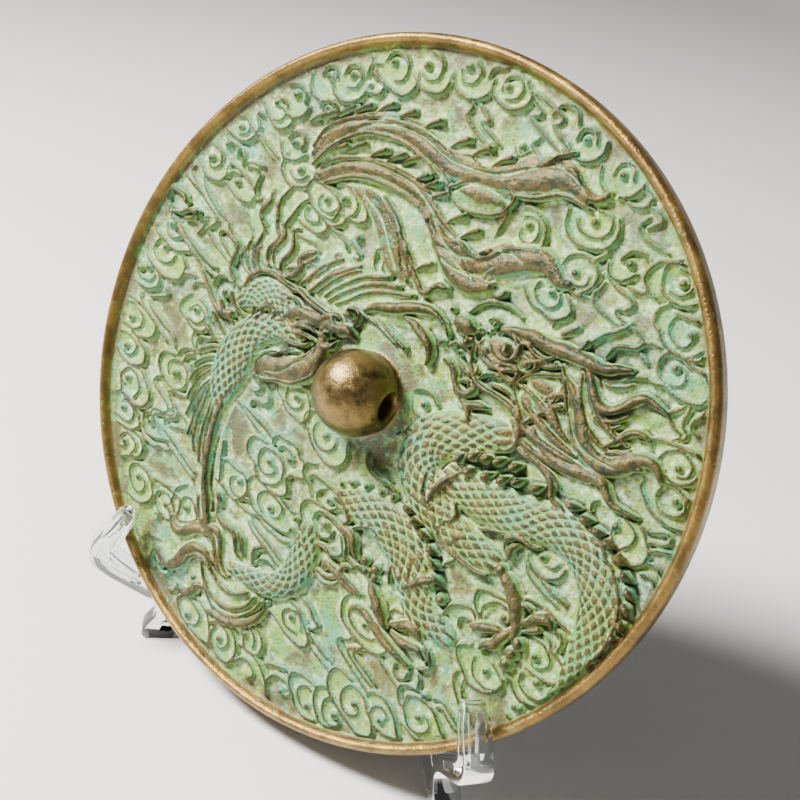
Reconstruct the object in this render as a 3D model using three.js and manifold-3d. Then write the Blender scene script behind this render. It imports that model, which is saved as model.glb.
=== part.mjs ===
// Bronze mirror with a dragon and phoenix back, leaning on a clear moulded plate stand.
// Millimetres, +Z up, -Y is the front.
// The origin is on the ground plane, under the middle of the whole object.
import * as THREE from 'three';
import { mergeVertices } from 'three/addons/utils/BufferGeometryUtils.js';
import Module from 'manifold-3d';

const wasm = await Module();
wasm.setup();
const { Manifold, Mesh: SolidMesh } = wasm;

// Mirror
const DISC_R = 100;          // outer radius of the rim
const FIELD_R = 96.4;        // inner edge of the rim bead
const PLATE_T = 4.5;         // plate thickness under the relief
const RIM_BACK = 5;          // the rim stands this far behind the relief ground
const RIM_TOP = 2.9;         // the rim bead stands this far before the relief ground
const DISC_SIDES = 52;
const LEAN = 20;             // degrees the disc leans back
const PATTERN_TURN = -0.7;   // degrees the pattern is turned in the plane of the disc
const DISC_Z = 101;          // height of the disc centre above the ground
const DISC_Y = -5.4;         // the disc centre is this far in front of the origin

// Knob
const KNOB_R = 12.2;
const KNOB_RISE = 6;         // centre of the ball above the relief ground
const CORD_R = 4;            // radius of the cord hole
const CORD_RISE = 6.2;

// Stand
const SEAT_ANGLE = 37;       // degrees from the lowest point of the disc to each cradle
const SPLAY = 48;            // degrees each panel turns away from straight ahead
const STRAP_W = 7.8;         // width of the edge flange
const WEB_T = 2.6;           // thickness of the panel between the flanges
const SEAT_Z = 26.5;         // height of the seat reference above the ground
const GAP = 0.3;             // clearance between touching pieces

const rad = THREE.MathUtils.degToRad;

// Solid and mesh helpers

function toSolid(geometry) {
  const bare = new THREE.BufferGeometry();
  bare.setAttribute('position', geometry.getAttribute('position'));
  if (geometry.index) bare.setIndex(geometry.index);
  const g = mergeVertices(bare, 1e-4);
  const solid = new Manifold(new SolidMesh({
    numProp: 3,
    vertProperties: new Float32Array(g.getAttribute('position').array),
    triVerts: new Uint32Array(g.index.array),
  }));
  return solid;
}

function toGeometry(solid) {
  const m = solid.getMesh();
  const g = new THREE.BufferGeometry();
  g.setAttribute('position', new THREE.BufferAttribute(new Float32Array(m.vertProperties), 3));
  g.setIndex(new THREE.BufferAttribute(new Uint32Array(m.triVerts), 1));
  return g;
}

// A closed shell from rings of equal length, each ring a list of [x, y, z].
function loft(rings) {
  const n = rings[0].length;
  const position = rings.flat(2);
  const index = [];
  for (let i = 0; i < rings.length - 1; i += 1) {
    for (let j = 0; j < n; j += 1) {
      const a = i * n + j;
      const b = i * n + (j + 1) % n;
      index.push(a, b, b + n, a, b + n, a + n);
    }
  }
  const last = (rings.length - 1) * n;
  for (let j = 1; j < n - 1; j += 1) {
    index.push(0, j + 1, j);
    index.push(last, last + j, last + j + 1);
  }
  const g = new THREE.BufferGeometry();
  g.setAttribute('position', new THREE.Float32BufferAttribute(position, 3));
  g.setIndex(index);
  return g;
}

// Relief helpers: all work in the plane of the disc, with z out of the ground.

function smooth(flat, steps) {
  const points = [];
  for (let i = 0; i < flat.length; i += 2) points.push(new THREE.Vector3(flat[i], flat[i + 1], 0));
  return new THREE.CatmullRomCurve3(points, false, 'centripetal').getSpacedPoints(steps);
}

function between(list, u) {
  const t = u * (list.length - 1);
  const i = Math.min(Math.floor(t), list.length - 2);
  return list[i] + (list[i + 1] - list[i]) * (t - i);
}

const SUNK = -0.7;           // relief pieces start inside the plate
const STEP_SHARE = 0.38;     // share of the listed steps that each ridge is cut into

// A ridge along a curve. Widths and heights run from start to end.
// Bodies are rounded, medium ridges have a flat top and thin ones meet in an edge.
function ridge(flat, widths, heights, listed = 7, thin = false) {
  const steps = Math.max(2, Math.round(listed * STEP_SHARE));
  const points = smooth(flat, steps);
  const widest = Math.max(...widths);
  const rings = points.map((p, i) => {
    const a = points[Math.max(i - 1, 0)];
    const b = points[Math.min(i + 1, steps)];
    const t = new THREE.Vector3().subVectors(b, a).normalize();
    const u = i / steps;
    const w = between(widths, u) / 2;
    const h = between(heights, u);
    let section = [[-1, SUNK], [-0.9, h * 0.45], [-0.4, h], [0.4, h], [0.9, h * 0.45], [1, SUNK]];
    if (widest < 6) section = [[-1, SUNK], [-0.55, h], [0.55, h], [1, SUNK]];
    if (thin || widest < 2.2) section = [[-1.15, SUNK], [0, h], [1.15, SUNK]];
    return section.map(([s, z]) => [p.x - t.y * s * w, p.y + t.x * s * w, z]);
  });
  return toSolid(loft(rings.reverse()));
}

// A low rounded boss on an ellipse.
function boss(x, y, rx, ry, turn, height, sides = 10) {
  const levels = sides > 6
    ? [[1.05, SUNK], [0.9, height * 0.7], [0.5, height]]
    : [[1.1, SUNK], [0.5, height]];
  const c = Math.cos(rad(turn));
  const s = Math.sin(rad(turn));
  const rings = levels.map(([f, z]) => Array.from({ length: sides }, (_, k) => {
    const a = k * 2 * Math.PI / sides;
    const ex = rx * f * Math.cos(a);
    const ey = ry * f * Math.sin(a);
    return [x + ex * c - ey * s, y + ex * s + ey * c, z];
  }));
  return toSolid(loft(rings));
}

// A cloud curl: a low round lobe with a flat top.
function curl(x, y, r) {
  const ring = (f, z) => Array.from({ length: 7 }, (_, k) => {
    const a = k * 2 * Math.PI / 7;
    return [x + r * f * Math.cos(a), y + 0.92 * r * f * Math.sin(a), z];
  });
  return toSolid(loft([ring(1, SUNK), ring(0.86, 1.1)]));
}

// Leaf-shaped spikes set along a curve, all leaning the same way.
function spikes(flat, count, length, width, height, lean) {
  return smooth(flat, count).map((p, i, all) => {
    const a = all[Math.max(i - 1, 0)];
    const b = all[Math.min(i + 1, count)];
    const turn = THREE.MathUtils.radToDeg(Math.atan2(b.y - a.y, b.x - a.x)) + lean;
    return boss(p.x, p.y, length, width, turn, height, 6);
  });
}

// Disc with its rim bead and the pierced knob

function disc() {
  const outline = [
    [0, -PLATE_T], [91, -PLATE_T], [93, -RIM_BACK], [98.8, -RIM_BACK], [DISC_R, -RIM_BACK + 1.4],
    [DISC_R, 0.9], [98.9, RIM_TOP], [97.3, 2.4], [FIELD_R, 0], [0, 0], [0, -PLATE_T],
  ];
  const g = new THREE.LatheGeometry(outline.map(([r, z]) => new THREE.Vector2(r, z)), DISC_SIDES);
  g.rotateX(Math.PI / 2);
  return toSolid(g);
}

function knob() {
  const ball = new THREE.SphereGeometry(KNOB_R, 18, 10);
  ball.rotateX(Math.PI / 2);
  ball.translate(0, 0, KNOB_RISE);
  const skirt = boss(0, 0, 14.6, 14.6, 0, 1.2, 16);
  const below = new THREE.BoxGeometry(40, 40, 20);
  below.translate(0, 0, -10 - 1);
  const cord = new THREE.CylinderGeometry(CORD_R, CORD_R, 3 * KNOB_R, 14);
  cord.rotateZ(Math.PI / 2);
  cord.translate(0, 0, CORD_RISE);
  return {
    body: Manifold.union([toSolid(ball).subtract(toSolid(below)), skirt]),
    hole: toSolid(cord),
  };
}

// The phoenix: head beside the knob, wings up and down, tail plumes across the top,
// long legs to the left
function phoenix() {
  return [
    boss(-41, 9, 13, 9.5, 55, 2.6, 14),
    boss(-44, -6, 11, 8, 75, 2.4, 12),
    ridge([-37, -5, -31, -3.5, -24, -2, -18.5, 3, -18, 9], [6, 8, 8.5, 7, 4], [2.2, 3, 3, 2.8, 2.4], 8),
    boss(-17.3, 11, 3.4, 2.8, 20, 3, 8),
    ridge([-18.5, 14.2, -14, 14.4, -11, 14.9, -8, 12.6], [2.6, 2.4, 1.2], [2.6, 2.6, 1.8], 5),
    ridge([-19, 9, -17, 7.6, -13.8, 10], [1.8, 1.6], [2.4, 2], 4),
    ridge([-10.3, 15.7, -9.3, 18.5, -10.7, 21, -13, 19.6], [1.6, 2.2, 2], [2, 3, 2.6], 5),
    ridge([-33.4, 10.7, -29.5, 14.5, -24, 14.3, -20, 16, -14.5, 16.8], [1.5, 2.6, 2.6, 1.6],
      [1.8, 2.8, 2.6, 2], 7),
    ridge([-36.5, 20, -31.5, 19.9, -26, 18, -19.2, 16.8], [1, 1.4, 1.2], [1.6, 2, 1.6], 6),
    // upper wing: leading edge, then the feather lines
    ridge([-8, 21.7, -4, 24, 2, 25.7, 8, 28, 14, 27.8, 17, 26.4], [2.2, 3.2, 3.2, 2.4],
      [1.6, 2.8, 3, 2.4], 8),
    ridge([5.3, 23.6, 11, 21.8, 15.3, 18.4, 15.8, 14.2], [1.8, 2.8, 2.6], [1.6, 2.8, 3], 6),
    ridge([-2, 20.3, 3, 18, 7.6, 16], [1.4, 2], [1.2, 2.2], 4),
    ridge([-29.2, 23, -28.4, 25.3, -26.5, 27.6], [1.2, 1.2], [1, 1.3], 3, true),
    ridge([-26, 22.6, -23, 27.4, -19.2, 30.7], [1.3, 1.4], [1, 1.5], 4, true),
    ridge([-25.3, 21, -19.5, 27.6, -13.4, 31.5], [1.4, 1.6], [1, 1.8], 5, true),
    ridge([-22.6, 21, -16, 27.2, -9.5, 31, -3.4, 32.6], [1.4, 1.8], [1.1, 2], 6, true),
    ridge([-21, 20, -14.5, 25.7, -7, 29.5, 0.5, 31], [1.4, 1.8], [1.1, 2], 6, true),
    ridge([-18.4, 20, -12, 24.8, -5, 28, 2, 29.5, 5.5, 30], [1.4, 1.8], [1.1, 1.8], 6, true),
    // lower wing: thick leading edge and long hanging feathers
    ridge([-45.5, -18, -46.3, -25, -45.5, -36.5, -42.6, -46.5, -38.6, -54.4], [2.4, 2.6, 3, 3.6],
      [2.4, 2.8, 2.8, 2.6], 9),
    ridge([-49, -17, -50.2, -28, -47.2, -40], [1.5, 1.8], [1.4, 1.8], 5, true),
    ridge([-51, -14.5, -53, -26, -50, -38], [1.5, 1.8], [1.4, 1.8], 5, true),
    ridge([-52, -12.5, -55.4, -24, -53.8, -34.4], [1.5, 1.9], [1.4, 1.8], 5, true),
    ridge([-52.5, -12, -56.5, -20, -57, -28.8], [1.5, 1.9], [1.3, 1.7], 4, true),
    ridge([-52.8, -11, -57.2, -16.5, -58.4, -23.6], [1.5, 1.8], [1.2, 1.6], 4, true),
    ridge([-51.3, -10.7, -57, -13, -60, -17.8], [1.5, 1.6], [1.2, 1.6], 4, true),
    ridge([-52.8, -8.4, -57, -10.4, -59.8, -13], [1.5, 1.5], [1.2, 1.6], 3, true),
    ridge([-51.3, -5.3, -56, -6.3, -59.4, -8.4], [1.6, 2], [1.2, 1.8], 3, true),
    // back feathers, rising like flames
    ridge([-48.8, 19.2, -52.6, 24, -51, 31, -52, 37.6], [1.4, 1.8], [1.4, 2], 6, true),
    ridge([-46.8, 20.3, -50.2, 25, -48.8, 31, -50.4, 38, -49.2, 45], [1.6, 2.4, 2.6], [1.6, 2.2, 2.2],
      8),
    ridge([-43.6, 22, -45.9, 27.4, -43.4, 33, -46.6, 40, -44.4, 47], [1.5, 2.2, 2], [1.6, 2.4, 2], 8),
    ridge([-41, 22.4, -43.8, 28, -42.2, 35, -40.6, 41, -38, 45.3], [1.4, 1.8, 1.6], [1.5, 2, 1.8],
      7, true),
    ridge([-38, 21.5, -40, 25.7, -37.8, 30.7, -39.6, 35.6], [1.5, 1.8, 1.4], [1.6, 2.4, 2], 6),
    ridge([-37.4, 22, -33.8, 25.4, -33, 29.8, -28.9, 31.8], [2.6, 3, 2], [1.8, 2.8, 2.6], 6),
    // legs and claws
    ridge([-87.5, 29.2, -79.4, 22.6, -71.3, 17.2, -62.5, 9.5, -53, 4.5], [1.4, 1.5, 2, 3.2],
      [1.6, 1.9, 2.2, 2.8], 8),
    ridge([-80.9, 24.5, -72, 19.8, -63.2, 16.3], [1.1, 1.3], [1.2, 1.5], 5, true),
    ridge([-87.5, 29.2, -88.4, 34, -84.6, 34.6, -81.2, 32], [1.8, 1.8, 1.3], [1.8, 2.6, 2.2], 5),
    ridge([-86, 27.8, -82, 28.6, -78.6, 30, -75.6, 29.8], [1.6, 1.8, 1.6], [1.8, 2.8, 2.4], 5),
    ridge([-81, 27.6, -77.4, 28, -74.9, 29.6], [1.4, 1.8], [1.8, 2.6], 4),
    ridge([-62, 12.2, -59.6, 15.2, -55.6, 13.6], [1.2, 1.6], [1.4, 1.8], 4),
    // outline of the raised leg feathers
    ridge([-63.2, 30.7, -60.2, 26.8, -57, 24, -57.5, 18.4, -51, 14.2], [1.1, 2, 2, 1.6], [1.2, 2, 1.8],
      8),
  ];
}

// Five long tail plumes with short hooked barbs
function plumes() {
  const barbs = [
    [-41, 69.5], [-37, 71.5], [-27, 75.5], [-20, 77.5], [-13, 77.2], [-4, 76.8], [6, 74.3], [20, 73],
    [-25, 65], [-18, 65], [-7, 66], [1, 61], [12, 55], [22.5, 48.8], [7.4, 39.6],
  ];
  return [
    ridge([-41, 55, -38, 63, -30, 68.6, -20, 70.6, -8, 69.5, 3, 64.5, 14, 65.2, 25, 66.5, 36, 71.5, 44,
      69.6, 50, 71.6],
      [3.2, 4.4, 4.6, 4, 4.6, 4, 1.6], [1.4, 2.2, 2.4, 2.2, 2.6, 2.6, 2], 14),
    ridge([-37, 51.5, -31, 57, -21, 58.8, -9, 58, 2, 54, 12, 48, 22, 44.2, 30, 47.6, 37, 50.6, 42.5,
      48.4, 47, 47.2],
      [2.4, 3.6, 3.6, 3.4, 4, 6, 3.6, 2], [1.4, 2, 2, 2.2, 2.6, 3, 2.8, 2], 14),
    ridge([-19.5, 52.4, -10.7, 50.2, -4, 45.4, 4, 45.6, 12, 41.4, 20, 38.4, 27.4, 40.2],
      [2, 2.6, 3, 4.6, 5.4, 2.4], [1.4, 1.8, 2, 2.4, 2.4, 1.8], 10),
    ridge([-6.5, 48, -3, 42, 0.4, 37.4, 5.6, 33.4, 9.4, 33, 13.2, 35.2], [2, 3, 3, 2.2, 2.6],
      [1.4, 2.2, 2, 1.8, 2.8], 8),
    ridge([2, 58.6, 10, 59.2, 18, 57.6, 23.6, 62, 19, 65.6], [1.4, 1.6, 1.4], [1.2, 1.8, 1.4], 7, true),
    ...barbs.map(([x, y]) => boss(x, y, 1.7, 1.2, 20, 2.4, 6)),
  ];
}

// The dragon: head on the right of the knob, two looped coils of body,
// tail ending in a fin at the bottom
function dragon() {
  const coat = [
    // coils
    ridge([43, 4, 34, 1, 25, -4, 23, -12, 29, -19, 40, -25, 52, -27], [9, 13, 15, 14, 12, 10, 8],
      [2, 2.8, 3, 3, 2.8, 2.6, 2], 11),
    ridge([36, -12, 46, -13, 56, -13.4, 66, -11.5, 76, -14, 83, -22, 84.6, -31, 83, -42, 80.6, -51],
      [12, 13, 12, 11, 12, 13.5, 12, 7, 3], [2.4, 3, 3, 2.8, 3, 3.2, 3, 2.6, 2], 13),
    ridge([4, -29.6, 11, -29, 20, -29.4, 28.6, -33.6, 32.6, -41, 37, -48.4, 46, -51.6],
      [5, 9.5, 11.5, 12, 11.5, 9.5, 5], [2, 2.6, 3, 3, 2.8, 2.4, 1.8], 10),
    ridge([-3.4, -43.6, -2.6, -51, -3.8, -58.6, -9.6, -63.8, -17.5, -65, -25, -65],
      [7, 11, 10, 8, 6.4, 4], [2.4, 3, 3, 2.8, 2.4, 2], 9),
    // head
    boss(23, 28.3, 3.6, 2.6, 5, 4, 10),
    boss(25.7, 24.2, 1.7, 1.5, 0, 3.2, 6),
    boss(31.5, 24, 2.1, 1.9, 0, 2.8, 6),
    boss(36, 25, 8.6, 5, -12, 2.2, 12),
    boss(37.2, 25.7, 2.1, 2, 0, 3.8, 8),
    ridge([34, 30.8, 39, 32, 45, 31.6, 53, 31.2, 61, 31, 66.6, 31.8, 70.4, 33],
      [3.4, 3.6, 2.6, 2, 1.6], [2.8, 3.2, 3, 2.6, 2.2], 9),
    ridge([53.4, 31.6, 56.4, 33.4, 57.4, 35.8, 62, 39.2, 66, 43], [1.8, 2, 1.5, 1.5], [2.4, 2.6, 2, 2],
      6),
    ridge([63.2, 33.4, 64.4, 36.5, 66.7, 37.8, 71, 39.8], [1.3, 1.8, 1.4], [1.4, 2.2, 1.8], 5),
    ridge([23, 31.6, 27, 35.8, 33, 36.8, 38, 35], [1.2, 1.6, 1.3], [1.8, 2.6, 1.8], 6),
    ridge([32.6, 22.4, 37, 20, 41, 18.8, 42, 21.6], [1.5, 1.8, 1.4], [2, 2.6, 2], 5),
    ridge([26.6, 26, 27.8, 21, 29.9, 16.8, 34, 14.2, 42, 12.8, 47, 9.4, 48.2, 5, 46.4, 1.8, 43.6, 2.8],
      [1.3, 1.7, 1.7, 1.5], [2, 2.6, 2.4, 2.4], 12),
    ridge([31.5, 14.5, 30.6, 11.2, 26.6, 10.3, 29, 9.3, 33, 6, 35.7, 4.2], [1.4, 1.8, 1.8],
      [2, 2.4, 2.8], 7),
    ridge([20, 17.2, 22.6, 17.2, 25.7, 14.5], [2, 2, 1.4], [1.8, 2.2, 1.4], 4),
    // mane locks
    ridge([58, 29, 61.7, 26.8, 64.6, 22.6, 68.4, 20.8, 72, 23, 75.6, 27, 79.8, 26.8, 83, 26],
      [2.4, 3, 3.4, 3, 1.8], [2, 2.6, 3.2, 3, 2.4], 11),
    ridge([56.4, 23.4, 60.4, 20, 63.6, 14.4, 67.6, 9.6, 73.4, 8, 78, 11, 82.6, 13.2, 87, 10],
      [2.6, 4.2, 4.8, 4.6, 3.6, 2.4], [2, 2.6, 3, 3.2, 3.2, 2.6], 12),
    ridge([70.5, 12.6, 75.2, 17.4, 81.7, 18], [1.4, 2, 1.6], [1.6, 2.2, 1.8], 5),
    ridge([51, 9.5, 56, 5.4, 64, 3.6, 71.6, 4.3, 76, 1.4, 80, -0.6, 85, -1], [2.4, 3, 2.4, 2.2, 2],
      [2, 2.8, 2.4, 2.4, 2], 10),
    ridge([49, 4.6, 56, 1.6, 61, -0.8, 61.9, -4.4, 67.5, -7.2], [1.4, 1.8, 1.8, 1.6],
      [1.8, 2.2, 2.4, 2], 8),
    // cheek fins
    boss(49.6, 20.6, 6.4, 3.6, -8, 1.8, 8),
    boss(46.8, 15.2, 4.4, 2.4, -50, 1.8, 8),
    ridge([43, 19.5, 45.4, 22.2, 50, 24.2, 54.8, 25.4], [1.2, 1.3], [2, 2.2], 5, true),
    ridge([54.8, 24.4, 54.6, 20, 52.6, 15.4, 48.4, 10.4], [1.2, 1.4], [1.8, 2], 6, true),
    // legs and claws
    ridge([55, -22.6, 55.2, -19.6, 59, -18, 64, -18.4], [2, 1.8, 1.6], [2.4, 2.4, 2], 5),
    ridge([57, -28.6, 60.6, -31.6, 63.4, -36, 65.4, -41, 66, -46, 66, -51.4], [4, 3, 2.6, 3.2, 2.6],
      [2.6, 2.8, 2.8, 2.8, 2.4], 9),
    ridge([65, -38.6, 69, -36.6, 71.8, -34.6, 74.4, -36.6], [3, 3.2, 1.8], [2.6, 3, 2.2], 6),
    ridge([63.6, -35.4, 65.6, -33.8, 67.8, -34.4], [1.6, 2], [2.4, 2.4], 3),
    ridge([53.2, -45.9, 57.4, -44, 62.4, -42.6], [2.6, 2.6, 1.6], [2.6, 2.6, 2], 4),
    ridge([64, -41.6, 61.6, -45.8, 58.4, -48.8, 57.4, -51.6], [1.6, 3, 3, 1.8], [2, 2.8, 2.8, 2], 6),
    ridge([40.4, -38, 36, -40.6, 33, -43.6, 30.4, -45.6], [2.6, 2.6, 2], [3.6, 3.8, 3.2], 5),
    ridge([35.9, -9, 32.6, -13, 30.4, -18.6, 34.4, -25.2, 40, -29.5, 48, -31.4, 54, -31],
      [1.8, 1.8, 1.5, 1.5], [3.6, 3.6, 2, 2], 10, true),
    ridge([21.8, -48.6, 25.4, -53, 29, -57.4], [2.6, 3.2, 2.6], [2.2, 2.6, 2.4], 4),
    ridge([18.4, -57.5, 20.4, -56.4, 26.5, -59, 33, -62.4, 40.6, -64.8], [1.8, 2.4, 2.8, 3],
      [2, 2.4, 2.8, 2.8], 8),
    ridge([30.7, -56.3, 35.6, -54.2, 39.4, -54.4, 41, -56.2], [2.4, 2.6, 1.4], [2.4, 2.6, 2], 5),
    ridge([31.8, -58.2, 36.6, -59.2, 41.5, -58.6, 44.2, -61], [1.8, 2.6, 1.8], [2.2, 2.6, 2], 5),
    ridge([42.2, -56.7, 45.4, -59.4, 44.8, -62.6, 42.2, -64], [1.4, 1.6, 1.4], [1.8, 2.2, 1.8],
      5, true),
    ridge([6, -38.4, 10, -39.4, 12, -43.4, 16, -45.6], [2.6, 3, 2.2], [2, 2.6, 2.2], 6),
    // tail fin
    ridge([-16.8, -69, -22, -72, -29.2, -70.5, -34.4, -66.2, -40, -65.2, -44, -70.4, -48, -74, -53,
      -71.8],
      [1.8, 2, 3, 4, 4, 3, 2], [1.6, 2, 2.4, 2.8, 2.8, 2.6, 1.8], 12),
    ridge([-14.4, -70, -19, -75.8, -26, -76.6, -32, -73.4, -35.6, -68.2], [1.5, 1.7, 1.4],
      [1.6, 1.9, 1.5], 8, true),
    ridge([-11.6, -69.6, -15, -76, -21.4, -79, -28.2, -78.2], [1.3, 1.5, 1.2], [1.5, 1.8, 1.5],
      7, true),
    ridge([-9.4, -69, -11, -75, -16.4, -79.2, -23, -81, -29.4, -81], [2.2, 2.6, 1.8], [2.2, 2.6, 1.8],
      8),
    ridge([-25, -67.6, -29.6, -64, -31.6, -58, -38, -56.4, -42.8, -52.6, -44.4, -48],
      [2, 2.2, 2.4, 1.8, 1.4], [1.8, 2.2, 2.4, 2, 1.6], 10),
    ridge([-23.6, -61, -26.6, -56, -31.5, -54, -35.7, -51.3, -36.6, -47], [2.4, 2.8, 2, 2.4],
      [2, 2.6, 2, 2.2], 8),
    ridge([-36.4, -60, -42, -59.8, -47, -62.6, -51, -60.8, -54, -57.8], [2.2, 3.4, 3, 1.8],
      [2, 2.8, 2.6, 1.8], 8),
    ridge([-32.2, -75.2, -35.8, -76.6, -38.6, -79.4, -41.8, -78.2], [2.4, 3, 2], [2.2, 2.6, 2], 6),
  ];
  return coat.concat(
    spikes([38.4, -7.4, 52, -5, 58, -4.4, 68.6, -4.6], 4, 2.3, 1.2, 3.2, 18),
    spikes([72.8, -6.3, 80.5, -9.6, 87, -15, 90, -22, 91, -30, 89.4, -36.5, 86.8, -41],
      7, 2.6, 1.3, 3, -8),
    spikes([5.7, -24.8, 15.3, -23.4, 25, -24.4, 33.4, -30.4, 38.8, -37], 5, 2.1, 1.4, 3.2, -20),
    spikes([34.5, -5, 41.5, -2.8, 50, -1.5], 2, 2.2, 1.3, 3.2, 20),
  );
}

// Cloud curls over the ground: centre and radius
function clouds() {
  const list = [
    [-53, 71, 5.4], [-57.6, 66.6, 5.6], [-69, 57.6, 5.6], [-75.6, 46.4, 5.4], [-36, 81, 6],
    [-45, 79.2, 5], [-24, 86.6, 5], [-12, 89, 4.8], [0.4, 91, 4.6], [13.3, 90, 5], [51, 76.6, 5.4],
    [47.6, 63.8, 5], [31, 57.6, 5], [74.6, 56.2, 5.4], [79.6, 45.8, 5.6], [80.4, 36.4, 5.6],
    [90, 15.4, 4.6], [80.6, -5, 4.6], [43.2, 43.2, 5.2], [-32, 46.4, 6.6], [-25, 48.4, 5],
    [-83.6, 22.8, 4.8], [-83.8, 14.8, 6], [-88.6, 7, 4.8], [-66, 1.4, 6], [-88.4, -8, 5],
    [-87.6, -17.2, 5.4], [-82.6, -27.2, 5.8], [-81, -36.6, 5.8], [-77, -46, 5],
    [-66.6, -18.4, 5.6], [-68.4, -55.4, 6.6], [-47.4, -55, 5], [-35.4, -85, 6],
    [-21.6, -86.6, 5.8], [12.6, -89, 5], [22.6, -88.4, 5.4], [27.4, -82.2, 6], [37.4, -81.4, 4.8],
    [47.2, -75.6, 6], [61.6, -54.6, 5.6], [75, -52.2, 4.8], [73.6, -44.6, 5.6], [58, -39, 5],
    [0.2, -69.4, 5.4], [24.4, -59.6, 5.6], [51.4, -46, 4.8], [-23.4, -30.6, 6.4],
    [-18.6, -42.2, 5.6], [-8.2, -16.8, 5.4],
  ];
  return list.map((c) => curl(...c));
}

// Long cloud tails and zigzag ribbons
function streamers() {
  const list = [
    [-68, 61.5, -62, 57, -54, 53], [-80, 39.6, -70.4, 33.8, -63.4, 30], [-68.6, 24.7, -58.8, 19.6],
    [-84.8, -1.6, -78, -5.6, -72.2, -8.8, -70, -11.4],
      [-73.4, -22.4, -70, -26, -64.8, -29.6, -69.6, -33, -66, -36.4, -49, -45.6],
    [-40, -18.2, -33, -21, -26, -23.4], [3.8, 83.8, 4.4, 80.4, 15.4, 73], [29, 84.8, 24, 83, 34, 78],
    [57, 50.4, 63.4, 48.2, 61.4, 44.8, 65.6, 43], [60.5, 71.4, 62, 66.6, 69, 62],
      [85, 29.6, 84, 25.6, 87.4, 22, 86, 20.3],
    [89.6, 30, 88.2, 25.6, 90.6, 22.8], [62, -24, 67, -28, 75, -29.4],
      [64.4, -32.2, 73.6, -33.2, 82, -36],
    [-23.6, -50.4, -16, -54.4, -10.6, -57.6], [5.7, -49.4, 13.4, -52.4, 19.4, -54],
      [7.6, -71.8, 17, -76],
    [19.4, -66.6, 17.4, -69, 24, -73.2, 31, -77], [24.6, -67.4, 22, -69.4, 31.6, -75],
      [53.8, -59, 54.4, -63.6, 60, -70.6],
    [-37, 43.6, -31, 42, -25, 43], [36, 43, 40, 39.2, 46, 37.8, 50, 40.4],
  ];
  return list.map((flat) => ridge(flat, [1.6, 1.8, 1.4], [1, 1.3, 1],
    Math.max(3, Math.round(flat.length / 1.6)), true));
}

function mirrorSolid() {
  const { body, hole } = knob();
  const relief = Manifold.union([...phoenix(), ...plumes(), ...dragon(), ...clouds(), ...streamers()]);
  return Manifold.union([disc(), relief, body]).subtract(hole);
}

// Stand panel, drawn in its own plane: s forward, z up, both from the seat reference point.
// The outline starts at the hook tip and runs over the front, foot, arch,
// rear foot and back to the cradle.
const BACK_SLOPE = 0.544;    // run of the back rest per unit of height
const HOOK = [
  [3.4, 17.2], [4, 19.4], [5.6, 20.2], [7.6, 19], [10.6, 15], [14, 10.8], [16.6, 7], [17, 4.6],
    [15.6, 1.2],
  [12, -2], [7, -5.4], [2, -8.6], [-2, -11.6], [-4, -14.6], [-3.6, -18], [-1, -21.4], [0.8, -24],
    [0.2, -25.9],
];
const FOOT = [
  [-1.6, -SEAT_Z], [-9.4, -SEAT_Z], [-13, -24.6], [-20, -19.6], [-30, -16.2], [-46, -14.6],
    [-62, -15.2], [-78, -18],
  [-90, -22], [-95.4, -25.6], [-97.4, -SEAT_Z], [-107, -SEAT_Z], [-109.4, -24.6], [-109, -21],
];
const SPINE = [[-104, -11], [-96, 3], [-86, 21], [-76, 41], [-67, 60], [-61, 73], [-58, 77.4],
  [-55, 77.6]];

function backRest(z) {
  return [-10.4 - BACK_SLOPE * z, z];
}

function panelOutline() {
  const rest = [73, 56, 38, 20, 4].map(backRest);
  const cradle = [[-6.2, -8], [-4.6, -8.2], [2.6, -1.6], [9, 4.2], [9.2, 6], [6.4, 11.6]];
  return [...HOOK, ...FOOT, ...SPINE, ...rest, ...cradle];
}

function slab(points, thickness, centre) {
  const g = new THREE.ExtrudeGeometry(new THREE.Shape(points.map(([s, z]) => new THREE.Vector2(s, z))),
    {
    depth: thickness,
    bevelEnabled: false,
  });
  g.translate(0, 0, centre - thickness / 2);
  return toSolid(g);
}

// The pocket on each face leaves the hook prong solid and thins the rest to a web.
function pocketOutline() {
  const front = [[12.6, 5.2], [10.4, 0.8], [2, -6], [-5.6, -12.4], [-7, -17.6], [-4.4, -23.4],
    [-8, -23.8]];
  const arch = [[-13.4, -21.4], [-21.6, -16.6], [-31, -13.6], [-46, -12.2], [-62, -12.8], [-78, -15.6],
    [-90, -19.6], [-97.6, -23.8], [-106, -23.8]];
  const spine = [[-101.8, -9.6], [-93.8, 4], [-83.8, 22], [-73.8, 42], [-64.6, 61.4], [-58.8, 74]];
  const rest = [70, 56, 38, 20, 4].map((z) => [backRest(z)[0] - 2.9, z]);
  const seat = [[-8.6, -7.2], [-4, -11], [3.8, -4]];
  return [...front, ...arch, ...spine, ...rest, ...seat];
}

const SEAT_X = (DISC_R - 1.5) * Math.sin(rad(SEAT_ANGLE));
const CROSS_S = -SEAT_X / Math.sin(rad(SPLAY));

function panel(side) {
  const web = (STRAP_W - WEB_T) / 2;
  const pocket = pocketOutline();
  const body = slab(panelOutline(), STRAP_W, 0)
    .subtract(slab(pocket, web, STRAP_W / 2 - web / 2 + 0.001))
    .subtract(slab(pocket, web, -STRAP_W / 2 + web / 2 - 0.001));
  // cross lap: one panel is slotted from above, the other from below
  const half = (STRAP_W / 2 + GAP) / Math.sin(rad(2 * SPLAY)) + 0.4;
  const lap = 4;
  const low = side < 0 ? lap : -SEAT_Z - 5;
  const high = side < 0 ? 60 : lap + GAP;
  const slot = slab([[CROSS_S - half, low], [CROSS_S + half, low], [CROSS_S + half, high],
    [CROSS_S - half, high]], 20, 0);
  return body.subtract(slot);
}

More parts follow.
